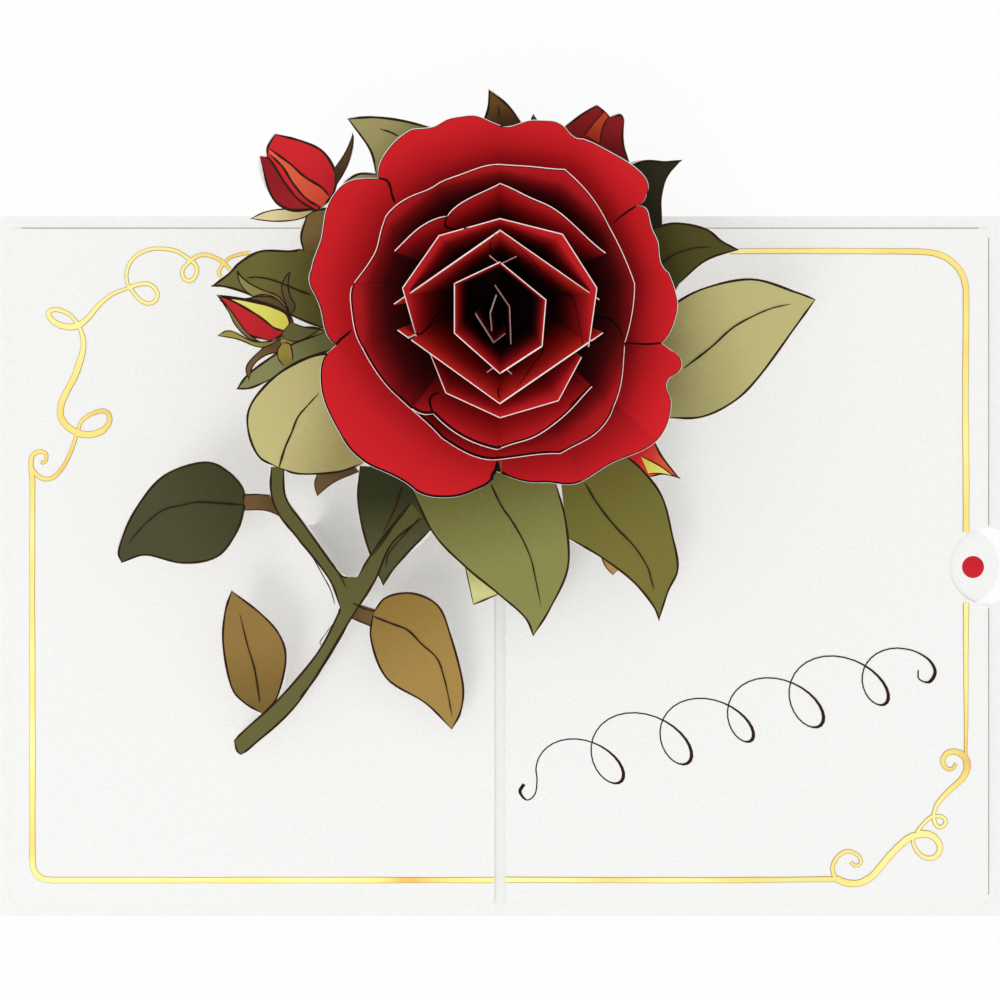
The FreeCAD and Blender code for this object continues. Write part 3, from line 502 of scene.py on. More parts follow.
# Second colours of the buds
BUD_PATCHES = {
    "left_bud_yellow": (
        [[(217, 295), (240, 298), (268, 304), (286, 312), (291, 324)],
         [(285, 332), (274, 329), (258, 317), (236, 304)]],
        ("D9CF55", "E6DE70", (285, 320), (220, 296)),
    ),
    "left_bud_cap": (
        [[(244, 298), (257, 296), (270, 296), (280, 300), (287, 307)],
         [(291, 316), (278, 308), (264, 303)]],
        ("4E3F24", "5E4E2E", (288, 310), (246, 298)),
    ),
    "left_bud_lower": (
        [[(219, 298), (228, 312), (236, 327), (249, 339)],
         [(263, 343), (250, 334), (240, 322), (230, 308)]],
        ("6E6638", "7D7444", (258, 340), (222, 300)),
    ),
    "left_bud_calyx": (
        [[(291, 321), (304, 326)], [(322, 329), (311, 336), (297, 342)], [(285, 340), (281, 334)]],
        ("50502C", "626038", (320, 330), (284, 336)),
    ),
    "left_bud_stem": (
        [[(282, 342), (290, 343), (293, 352)], [(294, 361)], [(284, 367), (278, 359), (277, 350)]],
        ("837430", "96863A", (286, 365), (283, 344)),
    ),
    "left_bud_olive": (
        [[(236, 270), (239, 282), (245, 291)], [(253, 297), (265, 295), (276, 299), (284, 307)],
         [(289, 314), (286, 304), (278, 295), (265, 290), (252, 284), (243, 277)]],
        ("7A7340", "8E8650", (280, 300), (238, 272)),
    ),
    "left_bud_horn": (
        [[(291, 270), (284, 278), (281, 288), (284, 300)],
         [(291, 317), (296, 306), (291, 296), (289, 284)]],
        ("4E4126", "5F5030", (291, 314), (290, 273)),
    ),
    "top_bud_coral": (
        [[(268, 146), (290, 162), (306, 176), (322, 186)], [(331, 196)],
         [(322, 209), (306, 200), (292, 184), (282, 168)], [(269, 155)]],
        ("D94A35", "E0603F", (325, 200), (270, 150)),
    ),
    "top_bud_shade": (
        [[(259, 156), (270, 195), (288, 210)], [(318, 210), (300, 199), (286, 182), (272, 160)],
         [(266, 156)]],
        ("A31D26", "8E1A22", (300, 205), (262, 158)),
    ),
    "top_right_coral": (
        [[(584, 135), (592, 124)], [(604, 111)], [(609, 117), (603, 128)], [(600, 144)]],
        ("A8331E", "BE4228", (594, 140), (606, 113)),
    ),
    "right_bud_yellow": (
        [[(640, 455), (660, 465)], [(676, 477), (660, 474)], [(648, 474)]],
        ("D9CF58", "E8E06C", (645, 465), (676, 477)),
    ),
}

# Gold lines cross, so each lies a step higher than the last and rises along its way (millimetres).
# The darker line under each is broader, and the gold a little narrower, in units of the view.
FOIL_LIFT = 0.01
FOIL_STEP = 0.0025
FOIL_RISE = 0.002
FOIL_RIM = 1.0
FOIL_CUT = -0.2

# Gold border and its curls, as pen lines of the view
FOIL_LINES = [
    ([(41, 461), (43, 463), (46, 460), (46, 454), (40, 451.5), (33, 455), (31, 464), (32.5, 480)],
     2.0, 4.6),
    ([(32.5, 480), (32.3, 600), (32.6, 740), (32.5, 860)], 4.6, 5.0),
    ([(32.5, 860), (34, 870), (41, 878), (52, 880)], 5.0, 5.2),
    ([(52, 880), (200, 880), (350, 880), (494, 880)], 5.2, 5.0),
    ([(32, 469), (37, 475), (45, 479), (54, 477), (63, 467), (70, 454), (74, 443), (77, 434)], 4.0, 3.0),
    ([(77, 436), (80, 424), (85, 418), (94, 413), (104, 411), (109, 415), (109, 423), (103, 431)],
     2.6, 5.0),
    ([(103.5, 430.5), (92, 434.5), (80, 433.5), (68, 427), (61, 417), (61, 406), (66, 393), (75, 376),
      (81, 358)],
     6.0, 5.8),
    ([(80.6, 361), (83.5, 347), (82.5, 336), (79, 326)], 5.6, 3.2),
    ([(79, 325), (70, 315), (59, 310), (51, 310.5), (48.5, 314.5), (53, 321), (61, 325.5), (72, 327),
      (81, 324)],
     2.8, 6.2),
    ([(80, 325), (89, 317), (100, 304), (113, 294), (128, 288)], 5.4, 2.4),
    ([(128, 288), (141, 284), (151, 285), (157.5, 293), (155, 301), (147.5, 303.5), (139, 299), (130, 288)],
     3.6, 3.0),
    ([(129, 288), (126.5, 278), (128.5, 266), (136, 256), (148, 250), (161, 248.6), (176, 251),
      (187, 257.5)],
     2.8, 3.2),
    ([(187, 257.5), (195, 264), (197, 271), (194, 278.5), (188.5, 281), (183, 277), (183, 269),
      (189.5, 262)],
     3.4, 3.0),
    ([(188.5, 262), (198, 256), (207, 255), (218, 259), (226, 265), (230, 270)], 3.4, 3.2),
    ([(221, 277), (219, 272), (224, 263), (233, 256.5), (250, 252.5)], 2.6, 2.8),
    ([(730, 251.3), (800, 251), (870, 251.2), (915, 251.4)], 4.6, 5.2),
    ([(915, 251.4), (933, 253), (948, 259), (960, 271), (965.4, 286), (966, 309)], 5.2, 5.4),
    ([(966, 309), (965.4, 400), (966, 480), (966, 532)], 5.4, 5.6),
    ([(966, 603), (965.8, 660), (966, 720), (965.4, 757)], 5.0, 2.4),
    ([(956, 763.5), (953, 768), (948, 769), (943.6, 765), (943, 759), (946.5, 753.6), (952.5, 751.6),
      (959.5, 753), (965, 757.5), (967.2, 764)], 2.4, 6.4),
    ([(967.2, 763.5), (966.6, 770), (962.5, 778), (956, 784.5), (948, 791.5), (941, 799), (936, 806),
      (933.6, 814)],
     6.4, 3.0),
    ([(933.6, 813), (934.2, 821), (938, 826.6), (943, 826), (945.6, 821.6), (943.4, 817.6), (938, 816),
      (931, 817), (924, 823), (916.5, 832)], 3.4, 3.0),
    ([(912.6, 837), (913.6, 845), (919, 853.4), (926, 857.8), (933.6, 857.4), (939, 851.8), (939.4, 844.6),
      (934.4, 837.4), (927, 834), (917, 833.6)], 2.4, 6.6),
    ([(924, 833.6), (912, 836.4), (903, 842.4), (892, 853), (881, 866), (872, 876), (862, 882),
      (853, 883.4), (844, 882), (836, 878.4)], 6.2, 6.0),
    ([(834.5, 877), (832.4, 868), (836, 858.6), (843, 852.4), (850, 851.4), (857, 854.6), (860.8, 860.4),
      (858.6, 865), (854, 865), (851, 862)], 3.6, 2.4),
    ([(505, 879.6), (620, 880), (730, 880), (838, 879)], 4.8, 4.6),
]

# A pen flourish of plain loops on the right page: it rises to the right and its loops grow and
# shrink. The pen presses on one way; lift and rise in millimetres keep crossings apart.
FLOURISH_START = (556, 768)
FLOURISH_END = (903, 668)
FLOURISH_LOOPS = 5
FLOURISH_RADIUS = (20, 11, 5)
FLOURISH_PRESS = Vector((-0.35, 0.94))
FLOURISH_THIN = 1.35
FLOURISH_SWELL = 2.2
FLOURISH_LIFT = 0.01
FLOURISH_RISE = 0.0005
FLOURISH_HEAD = [(-12, 16), (-16, 24), (-9, 32), (-1, 26), (1, 12)]
FLOURISH_TAIL = [(17, 3), (32, 12), (38, 24), (32, 34), (22, 31), (21, 22)]

# Rose: how deep each strip's apex lies under the seat, how high its rim is, and its print
ROSE_STRIPS = {
    "petals_outer_left": (10.3, 14.0, "outer"),
    "petals_outer_right": (10.3, 14.0, "outer"),
    "petals_second_upper": (21.4, 20.0, "second"),
    "petals_second_lower": (21.4, 20.0, "second"),
    "petals_third_upper": (27.5, 23.0, "third"),
    "petals_third_lower": (27.5, 23.0, "third"),
    "petals_fourth_upper": (37.0, 26.0, "fourth"),
    "petals_fourth_lower": (37.0, 26.0, "fourth"),
    "petals_fifth_upper": (39.4, 27.0, "fifth"),
    "petals_fifth_lower": (39.4, 27.0, "fifth"),
    "petals_inner_left": (72.0, 26.0, "inner"),
    "petals_inner_right": (72.0, 26.0, "inner"),
    "heart_left": (72.0, 19.0, "heart"),
    "heart_right": (72.0, 20.0, "heart"),
    "heart_fold": (72.0, 18.0, "heart"),
}
PETAL_TINTS = {
    "outer": [(0.05, "3A0608"), (0.3, "7E0E12"), (0.52, "B4171D"), (0.74, "D01C23"), (1.0, "DA2128")],
    "second": [(0.1, "140203"), (0.42, "3A0507"), (0.68, "580A0D"), (0.88, "901217"), (1.0, "C81D23")],
    "third": [(0.05, "200304"), (0.36, "660A0E"), (0.6, "A4131A"), (0.82, "CA1B21"), (1.0, "D82127")],
    "fourth": [(0.05, "3C0608"), (0.4, "720C10"), (0.68, "A2141A"), (0.9, "C41B21"), (1.0, "D42127")],
    "fifth": [(0.0, "4C080A"), (0.36, "861012"), (0.62, "B41B18"), (0.86, "CC241F"), (1.0, "D82A25")],
    "inner": [(0.0, "260405"), (0.5, "5A090D"), (0.78, "9A1319"), (0.93, "C01A20"), (1.0, "D42127")],
    "heart": [(0.0, "4E080A"), (0.6, "720D11"), (1.0, "A01218")],
}
INKED_TINTS = ("outer", "second", "third")

# A face leans out of its panel by more than EDGE_LEAN where it is a cut edge; a slot's faces look up
# by more than SLOT_LEAN and lie below SLOT_SHARE of the rim's height
THIN_AREA = 10 * MM * MM
EDGE_LEAN = 0.12
SLOT_LEAN = 0.45
SLOT_SHARE = 0.78

# Painted shade: the third strips darken at their tails, and the print's gradient is deeper on the far and
# right panels, paler on the near and left. Painted light and shade on the outer panels: those whose inner
# side faces LIT_SIDE are paler, and those that face DIM_SIDE are deeper.
TAIL_SHADE = {"third": 0.45}
NEAR_FAR_SHADE = 0.32
LEFT_RIGHT_SHADE = 0.12
LIT_SIDE = Vector((0.95, 0.3, 0))
LIT_SIDE_LIGHT = 0.13
DIM_SIDE = Vector((-0.77, 0.64, 0))
DIM_SIDE_SHADE = 0.34

# The halves of the outer ring meet in a tight slot at the top; its print goes on across it
SLOT_ROWS = range(124, 156, 3)
SLOT_SIDES = (495.5, 503.5)

# Ink lines on the petals: points of the view and the widths
PETAL_STROKES = [
    ([(378, 178), (386, 180), (390, 186), (392, 195), (395, 203)], 2.0, 2.0),
    ([(336, 345), (340, 340), (352, 330)], 2.6, 2.0),
    ([(663, 343), (646, 344), (625, 343)], 2.2, 1.4),
    ([(636, 206), (624, 214), (613, 223)], 2.2, 1.0),
    ([(492, 484), (492, 476), (496, 469), (497, 461)], 3.4, 2.4),
    ([(497, 461), (500, 470), (507, 475)], 2.0, 2.4),
    ([(447, 216), (445, 223), (447, 227), (454, 229), (469, 228)], 2.2, 1.2),
    ([(433, 414), (430, 404), (430, 399), (434, 394), (440, 393)], 2.4, 1.6),
    ([(590, 386), (580, 396.5), (569.5, 406)], 2.6, 2.0),
    ([(414, 333), (421, 334), (429, 326), (434, 318), (442, 310)], 2.2, 1.2),
    ([(583, 344), (580, 329), (576, 308), (572, 297), (564, 293), (549, 280)], 1.4, 1.6),
    ([(541, 272), (533, 261), (520, 248), (509, 238)], 1.4, 1.4),
    ([(495, 234), (490, 243), (491, 254)], 1.6, 1.2),
    ([(594, 317), (607, 318), (617, 325), (623, 337)], 2.2, 1.6),
    ([(543, 343), (542, 353), (533, 364), (525, 377), (516, 388)], 1.4, 1.6),
    ([(500, 399), (498, 393), (499, 388)], 1.8, 1.2),
    ([(606, 329), (603, 336), (597, 342)], 2.6, 1.8),
]

# Ink under the rims, thickest on the side of the rose that INK_SIDE points to, and the red print
# that bleeds over their edges, darkened on the heart with painted shade
INK_LIFT = 0.03 * MM
INK_SIDE = Vector((-0.45, -0.89, 0))
INK_THIN = 0.1 * MM
INK_THICK = 0.5 * MM
BLEED = 0.1 * MM

# Shade lines beside the liners, the gap that they leave at the notch, and the note's tab
CONTACT_WIDTH = 0.28 * MM
CONTACT_INSET = 2 * MM
NOTCH_HALF = 10.5 * MM
TAB_CENTRE = (973, 567)
TAB_MARK_RADIUS = 2.8 * MM


def leaf_values(points, base, tip):
    """The shade of each point, 0 at the base and 1 at the tip of a shape."""
    start, end = on_sheet(*base), on_sheet(*tip)
    way = end - start
    return [(p - start).dot(way) / way.length_squared for p in points]


def hand_widths(count, start, end, unevenness=0.18, taper=1.0):
    """Widths of a pen line in metres: it swells and thins a little, as a brush does."""
    widths = []
    for i in range(count):
        t = i / max(1, count - 1)
        sway = math.sin(i * 0.9 + count) * 0.6 + math.sin(i * 0.37 + 2) * 0.4
        tip = min(1.0, taper + (1 - taper) * min(i, count - 1 - i) / 4)
        widths.append((start + (end - start) * t) * UNIT * (1 + unevenness * sway) * tip)
    return widths


def tree_of(names):
    """Some solids as one surface that lines can meet."""
    points, faces = [], []
    for name in names:
        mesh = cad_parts[name].data
        first = len(points)
        points += [v.co.copy() for v in mesh.vertices]
        faces += [[first + i for i in face.vertices] for face in mesh.polygons]
    return BVHTree.FromPolygons(points, faces)


def seat_point(angle, distance, lift):
    return ROSE_SEAT @ Vector((math.cos(angle) * distance, math.sin(angle) * distance, lift))


def hidden_ring():
    """The outline of the part of the leaf sheet that the rose covers in the view."""
    rose, sheet = tree_of(ROSE_STRIPS), tree_of(["leaf_sheet"])
    count = 360
    reaches = []
    for i in range(count):
        reach = distance = SHADED_SEAT_RADIUS
        while distance - reach < GROUND_GAP:
            point = seat_point(math.tau * i / count, distance, 0)
            under = sheet.ray_cast(point + SHEET_NORMAL * MM, -SHEET_NORMAL, 1.5 * MM)[0]
            cover = rose.ray_cast(EYE, point - EYE)[0]
            if under and cover and (cover - EYE).length < (point - EYE).length - 0.2 * MM:
                reach = distance
            distance += GROUND_STEP
        reaches.append(reach)
    nearest = [min(reaches[i - 1], reaches[i], reaches[(i + 1) % count]) for i in range(count)]
    return [seat_point(math.tau * i / count, max(SHADED_SEAT_RADIUS, reach - GROUND_MARGIN), GROUND_LIFT)
            for i, reach in enumerate(nearest)]


def painted_shade_under_rose(prints, materials):
    """Painted shade where the rose covers the sheet: a dark ground, and a darker seat in its middle."""
    count = 60
    seat = [seat_point(math.tau * i / count, SHADED_SEAT_RADIUS, SEAT_LIFT) for i in range(count)]
    patches = [
        ("painted_shade_ground", "22260F", "3A3E1D", hidden_ring()),
        ("painted_shade_seat", "0E0203", "2A0507", seat),
    ]
    for name, dark, light, ring in patches:
        materials.append(shaded(name, [(0.0, dark), (1.0, light)], 0.6))
        prints.area(ring, [0.5] * len(ring), len(materials) - 1)


def make_leaf_sheet():
    """The leaf sheet stays white card; its print lies on top, layer over layer, with painted shade under
    the rose.
    """
    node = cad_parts["leaf_sheet"]
    node.data.materials.clear()
    node.data.materials.append(CUT_EDGE)
    prints = Print()
    ink = Print()
    materials = []
    layer = 0
    shapes = [(name, chain, LEAF_INKS[name]) for name, chain in FOLIAGE.items()]
    shapes += [(name, chain, tints) for name, (chain, tints) in BUD_PATCHES.items()]
    for name, chain, (dark, light, base, tip) in shapes:
        layer += 1
        runs = closed_runs(chain)
        lift = SHEET_NORMAL * (PRINT_LIFT + PRINT_STEP * layer)
        outline = ring_of(runs)
        fine = abs(turned_area(outline)) < FINE_SHAPE
        ring = inset(outline, FINE_MARGIN if fine else MARGIN)
        ink_ring = inset(outline, FINE_INK_MARGIN if fine else INK_MARGIN)
        points = [on_sheet(*p) + lift for p in ring]
        materials.append(shaded("print_" + name, [(0.0, dark), (0.55, light), (1.0, light)], 0.25))
        prints.area(points, leaf_values(points, base, tip), len(materials) - 1)
        width = FINE_INK_WIDTH if fine else INK_WIDTH
        for run in runs:
            if len(run) > 2:
                moved = moved_run(run, outline, ink_ring)
                line = [on_sheet(*p) + lift + SHEET_NORMAL * PRINT_STEP / 2 for p in moved]
                widths = hand_widths(len(line), width, width, 0.2, 0.3)
                ink.ribbon(line, [SHEET_NORMAL] * len(line), widths)
    lift = SHEET_NORMAL * (STROKE_LIFT + PRINT_STEP * (layer + 2))
    for points, start, end in LEAF_STROKES:
        placed = [on_sheet(*p) + lift for p in smooth(points)]
        ink.ribbon(placed, [SHEET_NORMAL] * len(placed), hand_widths(len(placed), start, end, 0.2, 0.4))
    # painted shade where the rose covers the leaf sheet
    painted_shade_under_rose(prints, materials)
    prints.piece("leaf_print", materials)
    ink.piece("leaf_ink", [INK])


def moved_run(run, outline, moved):
    """The part of a moved outline that belongs to one run, so that lines meet in its corners."""
    line = []
    for point in smooth(run):
        nearest = min(range(len(outline)), key=lambda i: (outline[i] - point).length)
        if not line or (moved[nearest] - line[-1]).length > 0.05:
            line.append(moved[nearest])
    return line


def face_kinds(mesh, apex, axis, slot_top):
    """For each face: 0 inner side, 1 cut edge, 2 outer side or part of a slot."""
    areas = {}
    planes = []
    for face in mesh.polygons:
        height = (face.center - apex).dot(face.normal) / MM
        plane = (*(round(n, 2) for n in face.normal), round(height, 1))
        planes.append(plane)
        areas[plane] = areas.get(plane, 0) + face.area
    kinds = []
    for face, plane in zip(mesh.polygons, planes):
        way = face.center - apex
        across = way - axis * way.dot(axis)
        if abs(face.normal.dot(way.normalized())) > EDGE_LEAN or areas[plane] < THIN_AREA:
            kinds.append(2 if face.normal.dot(axis) > SLOT_LEAN and way.dot(axis) < slot_top else 1)
        else:
            kinds.append(0 if face.normal.dot(across) < 0 else 2)
    return kinds


def petal_shade(point, facing, apex, axis, depth, height):
    """How far up the print a point is, with painted shade: deeper on the far and right panels, paler on the
    near and left.
    """
    rise = ((point - apex).dot(axis) / MM - depth) / height
    facing_shade_depth = 1 - NEAR_FAR_SHADE * facing.y - LEFT_RIGHT_SHADE * facing.x
    return 1 - (1 - rise) * facing_shade_depth


def painted_panel_light(facing):
    """Painted light and shade on each outer panel by the way it faces, so that the creases show."""
    return LIT_SIDE_LIGHT * max(0.0, facing.dot(LIT_SIDE))**2 - DIM_SIDE_SHADE * max(0.0, facing.dot(DIM_SIDE))**3


def flat_direction(normal):
    return Vector((normal.x, normal.y, 0)).normalized()


def make_petals():
    """Each strip is a copy of its solid, printed red inside and out, with white cut edges, and painted
    shade on panels and heart edges.
    """
    tints = {name: shaded("petal_" + name, stops, 0.05) for name, stops in PETAL_TINTS.items()}
    backs = shaded("petal_back", [(0.0, "1A0304"), (1.0, "9A141A")], 0.05)
    # the heart's cut edges: white card greyed with painted shade, deep in the rose
    shaded_heart_edge = paper("shaded_heart_edge", "B0A2A0", "948684")
    axis = (ROSE_SEAT.to_3x3() @ UP).normalized()
    rims = Print()
    for name, (depth, height, tint) in ROSE_STRIPS.items():
        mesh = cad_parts[name].data.copy()
        apex = ROSE_SEAT @ Vector((0, 0, -depth * MM))
        mesh.materials.clear()
        for material in (tints[tint], shaded_heart_edge if tint == "heart" else CUT_EDGE, backs):
            mesh.materials.append(material)
        slot_top = (depth + SLOT_SHARE * height) * MM if tint in INKED_TINTS else 0
        kinds = face_kinds(mesh, apex, axis, slot_top)
        half = max(abs(v.co.x) for v in mesh.vertices)
        # painted shade: the third strips darken towards their tails, where they run down between petals
        tail_shade = TAIL_SHADE.get(tint, 0)
        mesh.polygons.foreach_set("material_index", kinds)
        layer = mesh.attributes.new("shade", "FLOAT", "CORNER")
        for face in mesh.polygons:
            facing = flat_direction(face.normal)
            # painted light and shade by the way the panel faces, on the outer panels only
            panel_light = painted_panel_light(facing) if tint == "outer" else 0
            for loop in face.loop_indices:
                point = mesh.vertices[mesh.loops[loop].vertex_index].co
                shade = petal_shade(point, facing, apex, axis, depth, height)
                layer.data[loop].value = shade + panel_light - tail_shade * (abs(point.x) / half)**4
        for ink_band, red_band in rim_bands(mesh, kinds, apex):
            if tint in INKED_TINTS:
                rims.ribbon(*ink_band, 0)
            if tint != "outer":
                rims.ribbon(*red_band, 2 if tint == "heart" else 1)
        petal = show("print_" + name, mesh)
        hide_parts(name)
    bleed = shaded("rim_bleed", [(0.0, "B4171C"), (0.5, "BE1A20"), (1.0, "B4171C")], 0.2)
    # on the heart, the red over the rims is a dark red of painted shade
    shaded_heart_rim = shaded("heart_rim_painted_shade", [(0.0, "3E070A"), (0.5, "4A080B"), (1.0, "3E070A")], 0.2)
    rims.piece("rim_ink", [BLACK_INK, bleed, shaded_heart_rim])
    close_slot(tints["outer"], axis)


def rim_bands(mesh, kinds, apex):
    """For each piece of a rim: a band of ink under it, and red print that bleeds over its edge.

    The ink is broad where the rim looks down.
    """
    owners = {}
    for face, kind in zip(mesh.polygons, kinds):
        corners = [mesh.vertices[i].co for i in face.vertices]
        for a, b in zip(corners, corners[1:] + corners[:1]):
            key = frozenset(tuple(round(c / MM, 3) for c in p) for p in (a, b))
            owners.setdefault(key, []).append((kind, face, a, b))
    for faces in owners.values():
        if {entry[0] for entry in faces} != {0, 1}:
            continue
        inner = next(entry[1] for entry in faces if entry[0] == 0)
        edge = next(entry[1] for entry in faces if entry[0] == 1)
        a, b = faces[0][2], faces[0][3]
        down = (apex - (a + b) / 2).normalized()
        if edge.normal.dot(down) > -0.5:
            continue
        press = 0.5 - 0.5 * flat_direction(inner.normal).dot(INK_SIDE)
        seen = down.cross((a - EYE).normalized()).length
        breadth = (INK_THIN + (INK_THICK - INK_THIN) * press**2) / max(0.35, seen)
        shift = inner.normal * INK_LIFT + down * breadth / 2
        over = edge.normal * INK_LIFT / 2 - inner.normal * BLEED / 2
        yield (
            ([a + shift, b + shift], [inner.normal] * 2, [breadth] * 2),
            ([a + over, b + over], [edge.normal] * 2, [BLEED] * 2),
        )


def close_slot(tint, axis):
    tree = tree_of(ROSE_STRIPS)
    depth, height, _ = ROSE_STRIPS["petals_outer_left"]
    apex = ROSE_SEAT @ Vector((0, 0, -depth * MM))
    points, values, faces = [], [], []
    for row in SLOT_ROWS:
        hits = [tree.ray_cast(EYE, sight(side, row)) for side in SLOT_SIDES]
        if any(place is None or normal.dot(axis) < 0.3 for place, normal, _, _ in hits):
            continue
        for place, normal, _, _ in hits:
            points.append(place + normal * INK_LIFT)
            facing = flat_direction(normal)
            # the slot's print carries the same painted shade and panel light as the panels beside it
            values.append(petal_shade(place, facing, apex, axis, depth, height) + painted_panel_light(facing))
    for i in range(0, len(points) - 3, 2):
        faces.append((i, i + 1, i + 3, i + 2))
    mesh = bpy.data.meshes.new("slot_print")
    mesh.from_pydata([tuple(p) for p in points], [], faces)
    layer = mesh.attributes.new("shade", "FLOAT", "POINT")
    layer.data.foreach_set("value", values)
    mesh.materials.append(tint)
    show("slot_print", mesh)


def make_petal_strokes():
    """Ink lines that lie on whatever petal the eye sees there."""
    tree = tree_of(ROSE_STRIPS)
    ink = Print()
    for stroke, start, end in PETAL_STROKES:
        line = smooth(stroke, 9)
        widths = hand_widths(len(line), start, end, 0.15, 0.4)
        placed, normals, breadths = [], [], []
        for point, breadth in zip(line, widths):
            place, normal, _, _ = tree.ray_cast(EYE, sight(*point))
            leaves = place is None or (placed and (place - placed[-1]).length > 3 * MM)
            if leaves and len(placed) > 1:
                ink.ribbon(placed, normals, breadths)
            if leaves:
                placed, normals, breadths = [], [], []
            if place is not None:
                placed.append(place + normal * INK_LIFT)
                normals.append(normal)
                breadths.append(breadth)
        if len(placed) > 1:
            ink.ribbon(placed, normals, breadths)
    ink.piece("petal_ink", [BLACK_INK])


def make_foil():
    """Gold lines, each on a slightly broader and darker line; crossing lines lie over each other."""
    gold = Print()
    for number, (points, start, end) in enumerate(FOIL_LINES):
        line = smooth(points, 9)
        widths = hand_widths(len(line), start, end, 0.06)
        for layer, extra, slot in ((0, FOIL_RIM * UNIT, 0), (len(FOIL_LINES), FOIL_CUT * UNIT, 1)):
            base = FOIL_LIFT + FOIL_STEP * (number + layer)
            placed = [on_page(*p) + UP * (base + FOIL_RISE * i / len(line)) * MM
                      for i, p in enumerate(line)]
            gold.ribbon(placed, [UP] * len(placed), [w + extra for w in widths], slot)
    gold.piece("foil_border", [FOIL_EDGE, GOLD])


def flourish_line():
    """A rising row of loops between a hook and a curl."""
    start, end = Vector(FLOURISH_START), Vector(FLOURISH_END)
    base, swell, beat = FLOURISH_RADIUS
    steps = FLOURISH_LOOPS * 28
    line = []
    for i in range(steps + 1):
        t = i / steps
        turn = math.pi / 2 + (math.tau * FLOURISH_LOOPS + math.pi / 2) * t
        radius = base + swell * math.sin(math.pi * t) + beat * math.sin(3 * math.pi * t)
        loop = Vector((-math.sin(turn) + 0.3 * math.cos(turn), math.cos(turn))) * radius
        line.append(start + (end - start) * t + loop)
    head = [line[0] + Vector(p) for p in FLOURISH_HEAD]
    tail = [line[-1] + Vector(p) for p in FLOURISH_TAIL]
    return smooth([*head, line[0], line[2]])[:-7] + line[1:-1] + smooth([line[-2], line[-1], *tail])[7:]


def make_flourish():
    pen = Print()
    line = flourish_line()
    placed = [on_page(*p) + UP * (FLOURISH_LIFT + FLOURISH_RISE * i) * MM for i, p in enumerate(line)]
    widths = []
    for i in range(len(line)):
        way = line[min(i + 1, len(line) - 1)] - line[max(i - 1, 0)]
        press = max(0.0, way.normalized().dot(FLOURISH_PRESS)) if way.length else 0.0
        widths.append((FLOURISH_THIN + FLOURISH_SWELL * press) * UNIT)
    pen.ribbon(placed, [UP] * len(placed), widths)
    pen.piece("pen_flourish", [INK])


def make_contact_lines():
    """Fine shade lines on the cover, just past the liners' top and right edges as the eye sees them."""
    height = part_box("cover")[1].z + 0.01 * MM
    left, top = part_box("liner_left")[0].x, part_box("liner_left")[1].y
    right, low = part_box("liner_right")[1].x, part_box("liner_right")[0].y
    past = (LINER_TOP - height) / (EYE.z - LINER_TOP)
    x = right + right * past + CONTACT_WIDTH / 2
    y = top + (top - EYE.y) * past + CONTACT_WIDTH / 2
    tab = on_page(*TAB_CENTRE).y
    lines = Print()
    runs = [
        ((left + CONTACT_INSET, y), (right - CONTACT_INSET, y)),
        ((x, low + CONTACT_INSET), (x, tab - NOTCH_HALF)),
        ((x, tab + NOTCH_HALF), (x, top - CONTACT_INSET)),
    ]
    for ends in runs:
        lines.ribbon([Vector((*end, height)) for end in ends], [UP] * 2, [CONTACT_WIDTH] * 2)
    shade_line = shaded("contact_shade", [(0.0, "AEAEAC"), (0.5, "B8B8B6"), (1.0, "A8A8A6")], 0.4)
    lines.piece("contact_lines", [shade_line])


def make_tab_mark():
    """A plain red dot on the note's tab."""
    dot = Print()
    centre = on_plane(*TAB_CENTRE, Vector((0, 0, NOTE_TOP)), UP) + UP * 0.02 * MM
    count = 48
    ring = [centre + Vector((math.cos(a), math.sin(a), 0)) * TAB_MARK_RADIUS
            for a in (math.tau * i / count for i in range(count))]
    dot.area(ring, [i / count for i in range(count)])
    red = shaded("red_mark", [(0.0, "C8202B"), (1.0, "CE242E")], 0.1)
    dot.piece("tab_mark", [red], "note")


def dress_nodes():
    """White card and foam on the solids that stay."""
    for name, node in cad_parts.items():
        if name.startswith("foam"):
            finish = FOAM
        elif name == "cover":
            finish = COVER_CARD
        else:
            finish = WHITE_CARD
        if name != "leaf_sheet" and name not in ROSE_STRIPS:
            node.data.materials.clear()
            node.data.materials.append(finish)


def seen_rays(nodes, links):
    """1 for rays from the camera and for reflections, 0 for the light on the card."""
    path = nodes.new("ShaderNodeLightPath")
    seen = path.outputs["Is Camera Ray"]
    for name in ("Is Glossy Ray", "Is Transmission Ray"):
        join = nodes.new("ShaderNodeMath")
        join.operation = "MAXIMUM"
        links.new(seen, join.inputs[0])
        links.new(path.outputs[name], join.inputs[1])
        seen = join.outputs[0]
    return seen


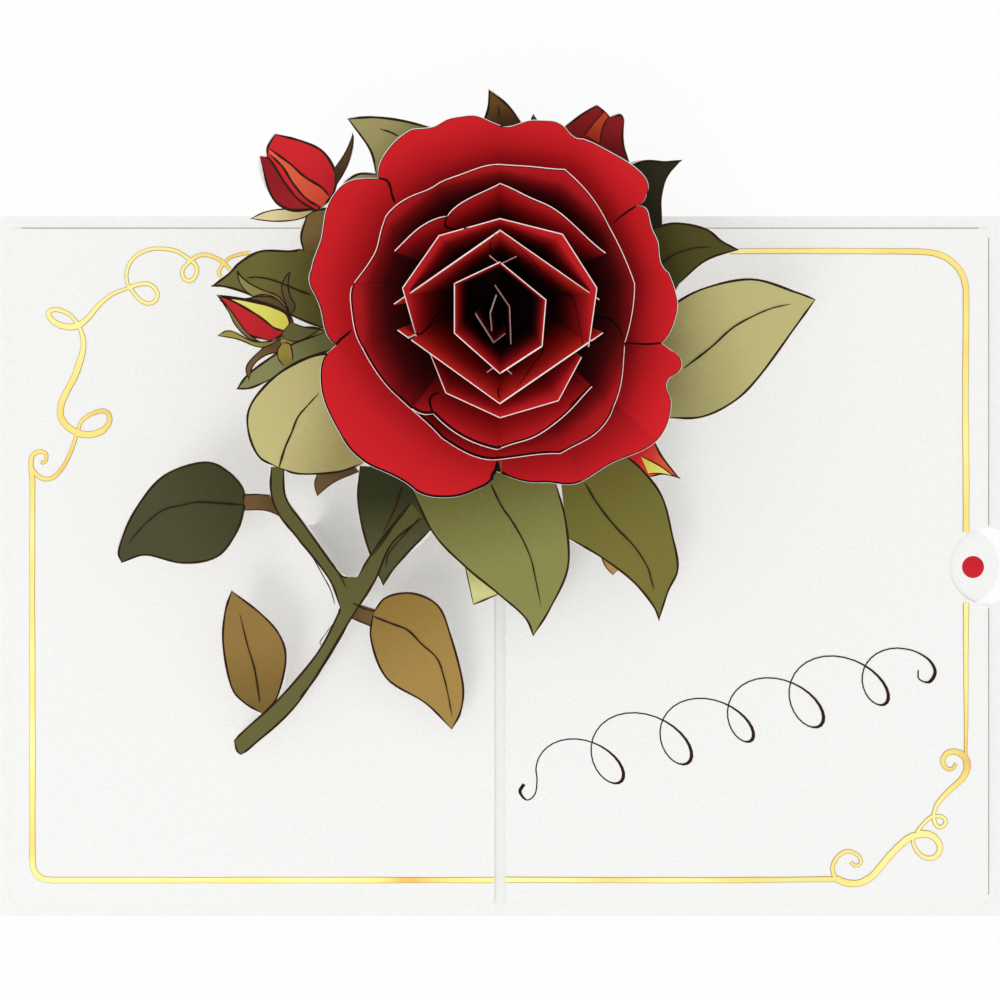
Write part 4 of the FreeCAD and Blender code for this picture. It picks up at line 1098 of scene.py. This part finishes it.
def make_stage():
    mesh = bpy.data.meshes.new("floor")
    corners = [(-FLOOR_SIZE, -FLOOR_SIZE, 0), (FLOOR_SIZE, -FLOOR_SIZE, 0),
               (FLOOR_SIZE, FLOOR_SIZE, 0), (-FLOOR_SIZE, FLOOR_SIZE, 0)]
    mesh.from_pydata(corners, [], [(0, 1, 2, 3)])
    floor = bpy.data.objects.new("floor", mesh)
    floor.location.z = -0.02 * MM
    bpy.context.scene.collection.objects.link(floor)
    material, nodes, links, shader = new_material("floor")
    shader.inputs["Base Color"].default_value = linear("FAFAFA")
    shader.inputs["Roughness"].default_value = 1.0
    shader.inputs["Specular IOR Level"].default_value = 0.0
    glow = nodes.new("ShaderNodeEmission")
    glow.inputs["Strength"].default_value = 1.0
    mix = nodes.new("ShaderNodeMixShader")
    share = nodes.new("ShaderNodeMath")
    share.operation = "MULTIPLY"
    share.inputs[1].default_value = FLOOR_GLOW
    links.new(seen_rays(nodes, links), share.inputs[0])
    links.new(share.outputs[0], mix.inputs["Fac"])
    links.new(shader.outputs[0], mix.inputs[1])
    links.new(glow.outputs[0], mix.inputs[2])
    links.new(mix.outputs[0], nodes["Material Output"].inputs["Surface"])
    mesh.materials.append(material)


def make_lights():
    world = bpy.data.worlds.new("studio")
    bpy.context.scene.world = world
    world.use_nodes = True
    nodes, links = world.node_tree.nodes, world.node_tree.links
    mix = nodes.new("ShaderNodeMixShader")
    links.new(seen_rays(nodes, links), mix.inputs["Fac"])
    for socket, strength in ((1, SKY_LIGHT), (2, 1.0)):
        sky = nodes.new("ShaderNodeBackground")
        sky.inputs["Color"].default_value = (1, 1, 1, 1)
        sky.inputs["Strength"].default_value = strength
        links.new(sky.outputs[0], mix.inputs[socket])
    links.new(mix.outputs[0], nodes["World Output"].inputs["Surface"])
    lamp = bpy.data.lights.new("key", "AREA")
    lamp.energy = KEY_POWER
    lamp.size = KEY_SIZE
    key = bpy.data.objects.new("key", lamp)
    key.location = KEY_PLACE
    key.rotation_mode = "QUATERNION"
    key.rotation_quaternion = Vector(KEY_PLACE).to_track_quat("Z", "Y")
    bpy.context.scene.collection.objects.link(key)


def make_camera():
    lens = bpy.data.cameras.new("camera")
    lens.sensor_width = 36
    lens.lens = lens.sensor_width * EYE.z / (VIEW_SIZE * UNIT)
    lens.clip_start = 0.01
    camera = bpy.data.objects.new("camera", lens)
    camera.location = EYE
    bpy.context.scene.collection.objects.link(camera)
    bpy.context.scene.camera = camera
    bpy.context.scene.view_settings.view_transform = "Standard"


make_camera()
make_stage()
make_lights()
dress_nodes()
make_leaf_sheet()
make_petals()
make_petal_strokes()
make_foil()
make_flourish()
make_contact_lines()
make_tab_mark()
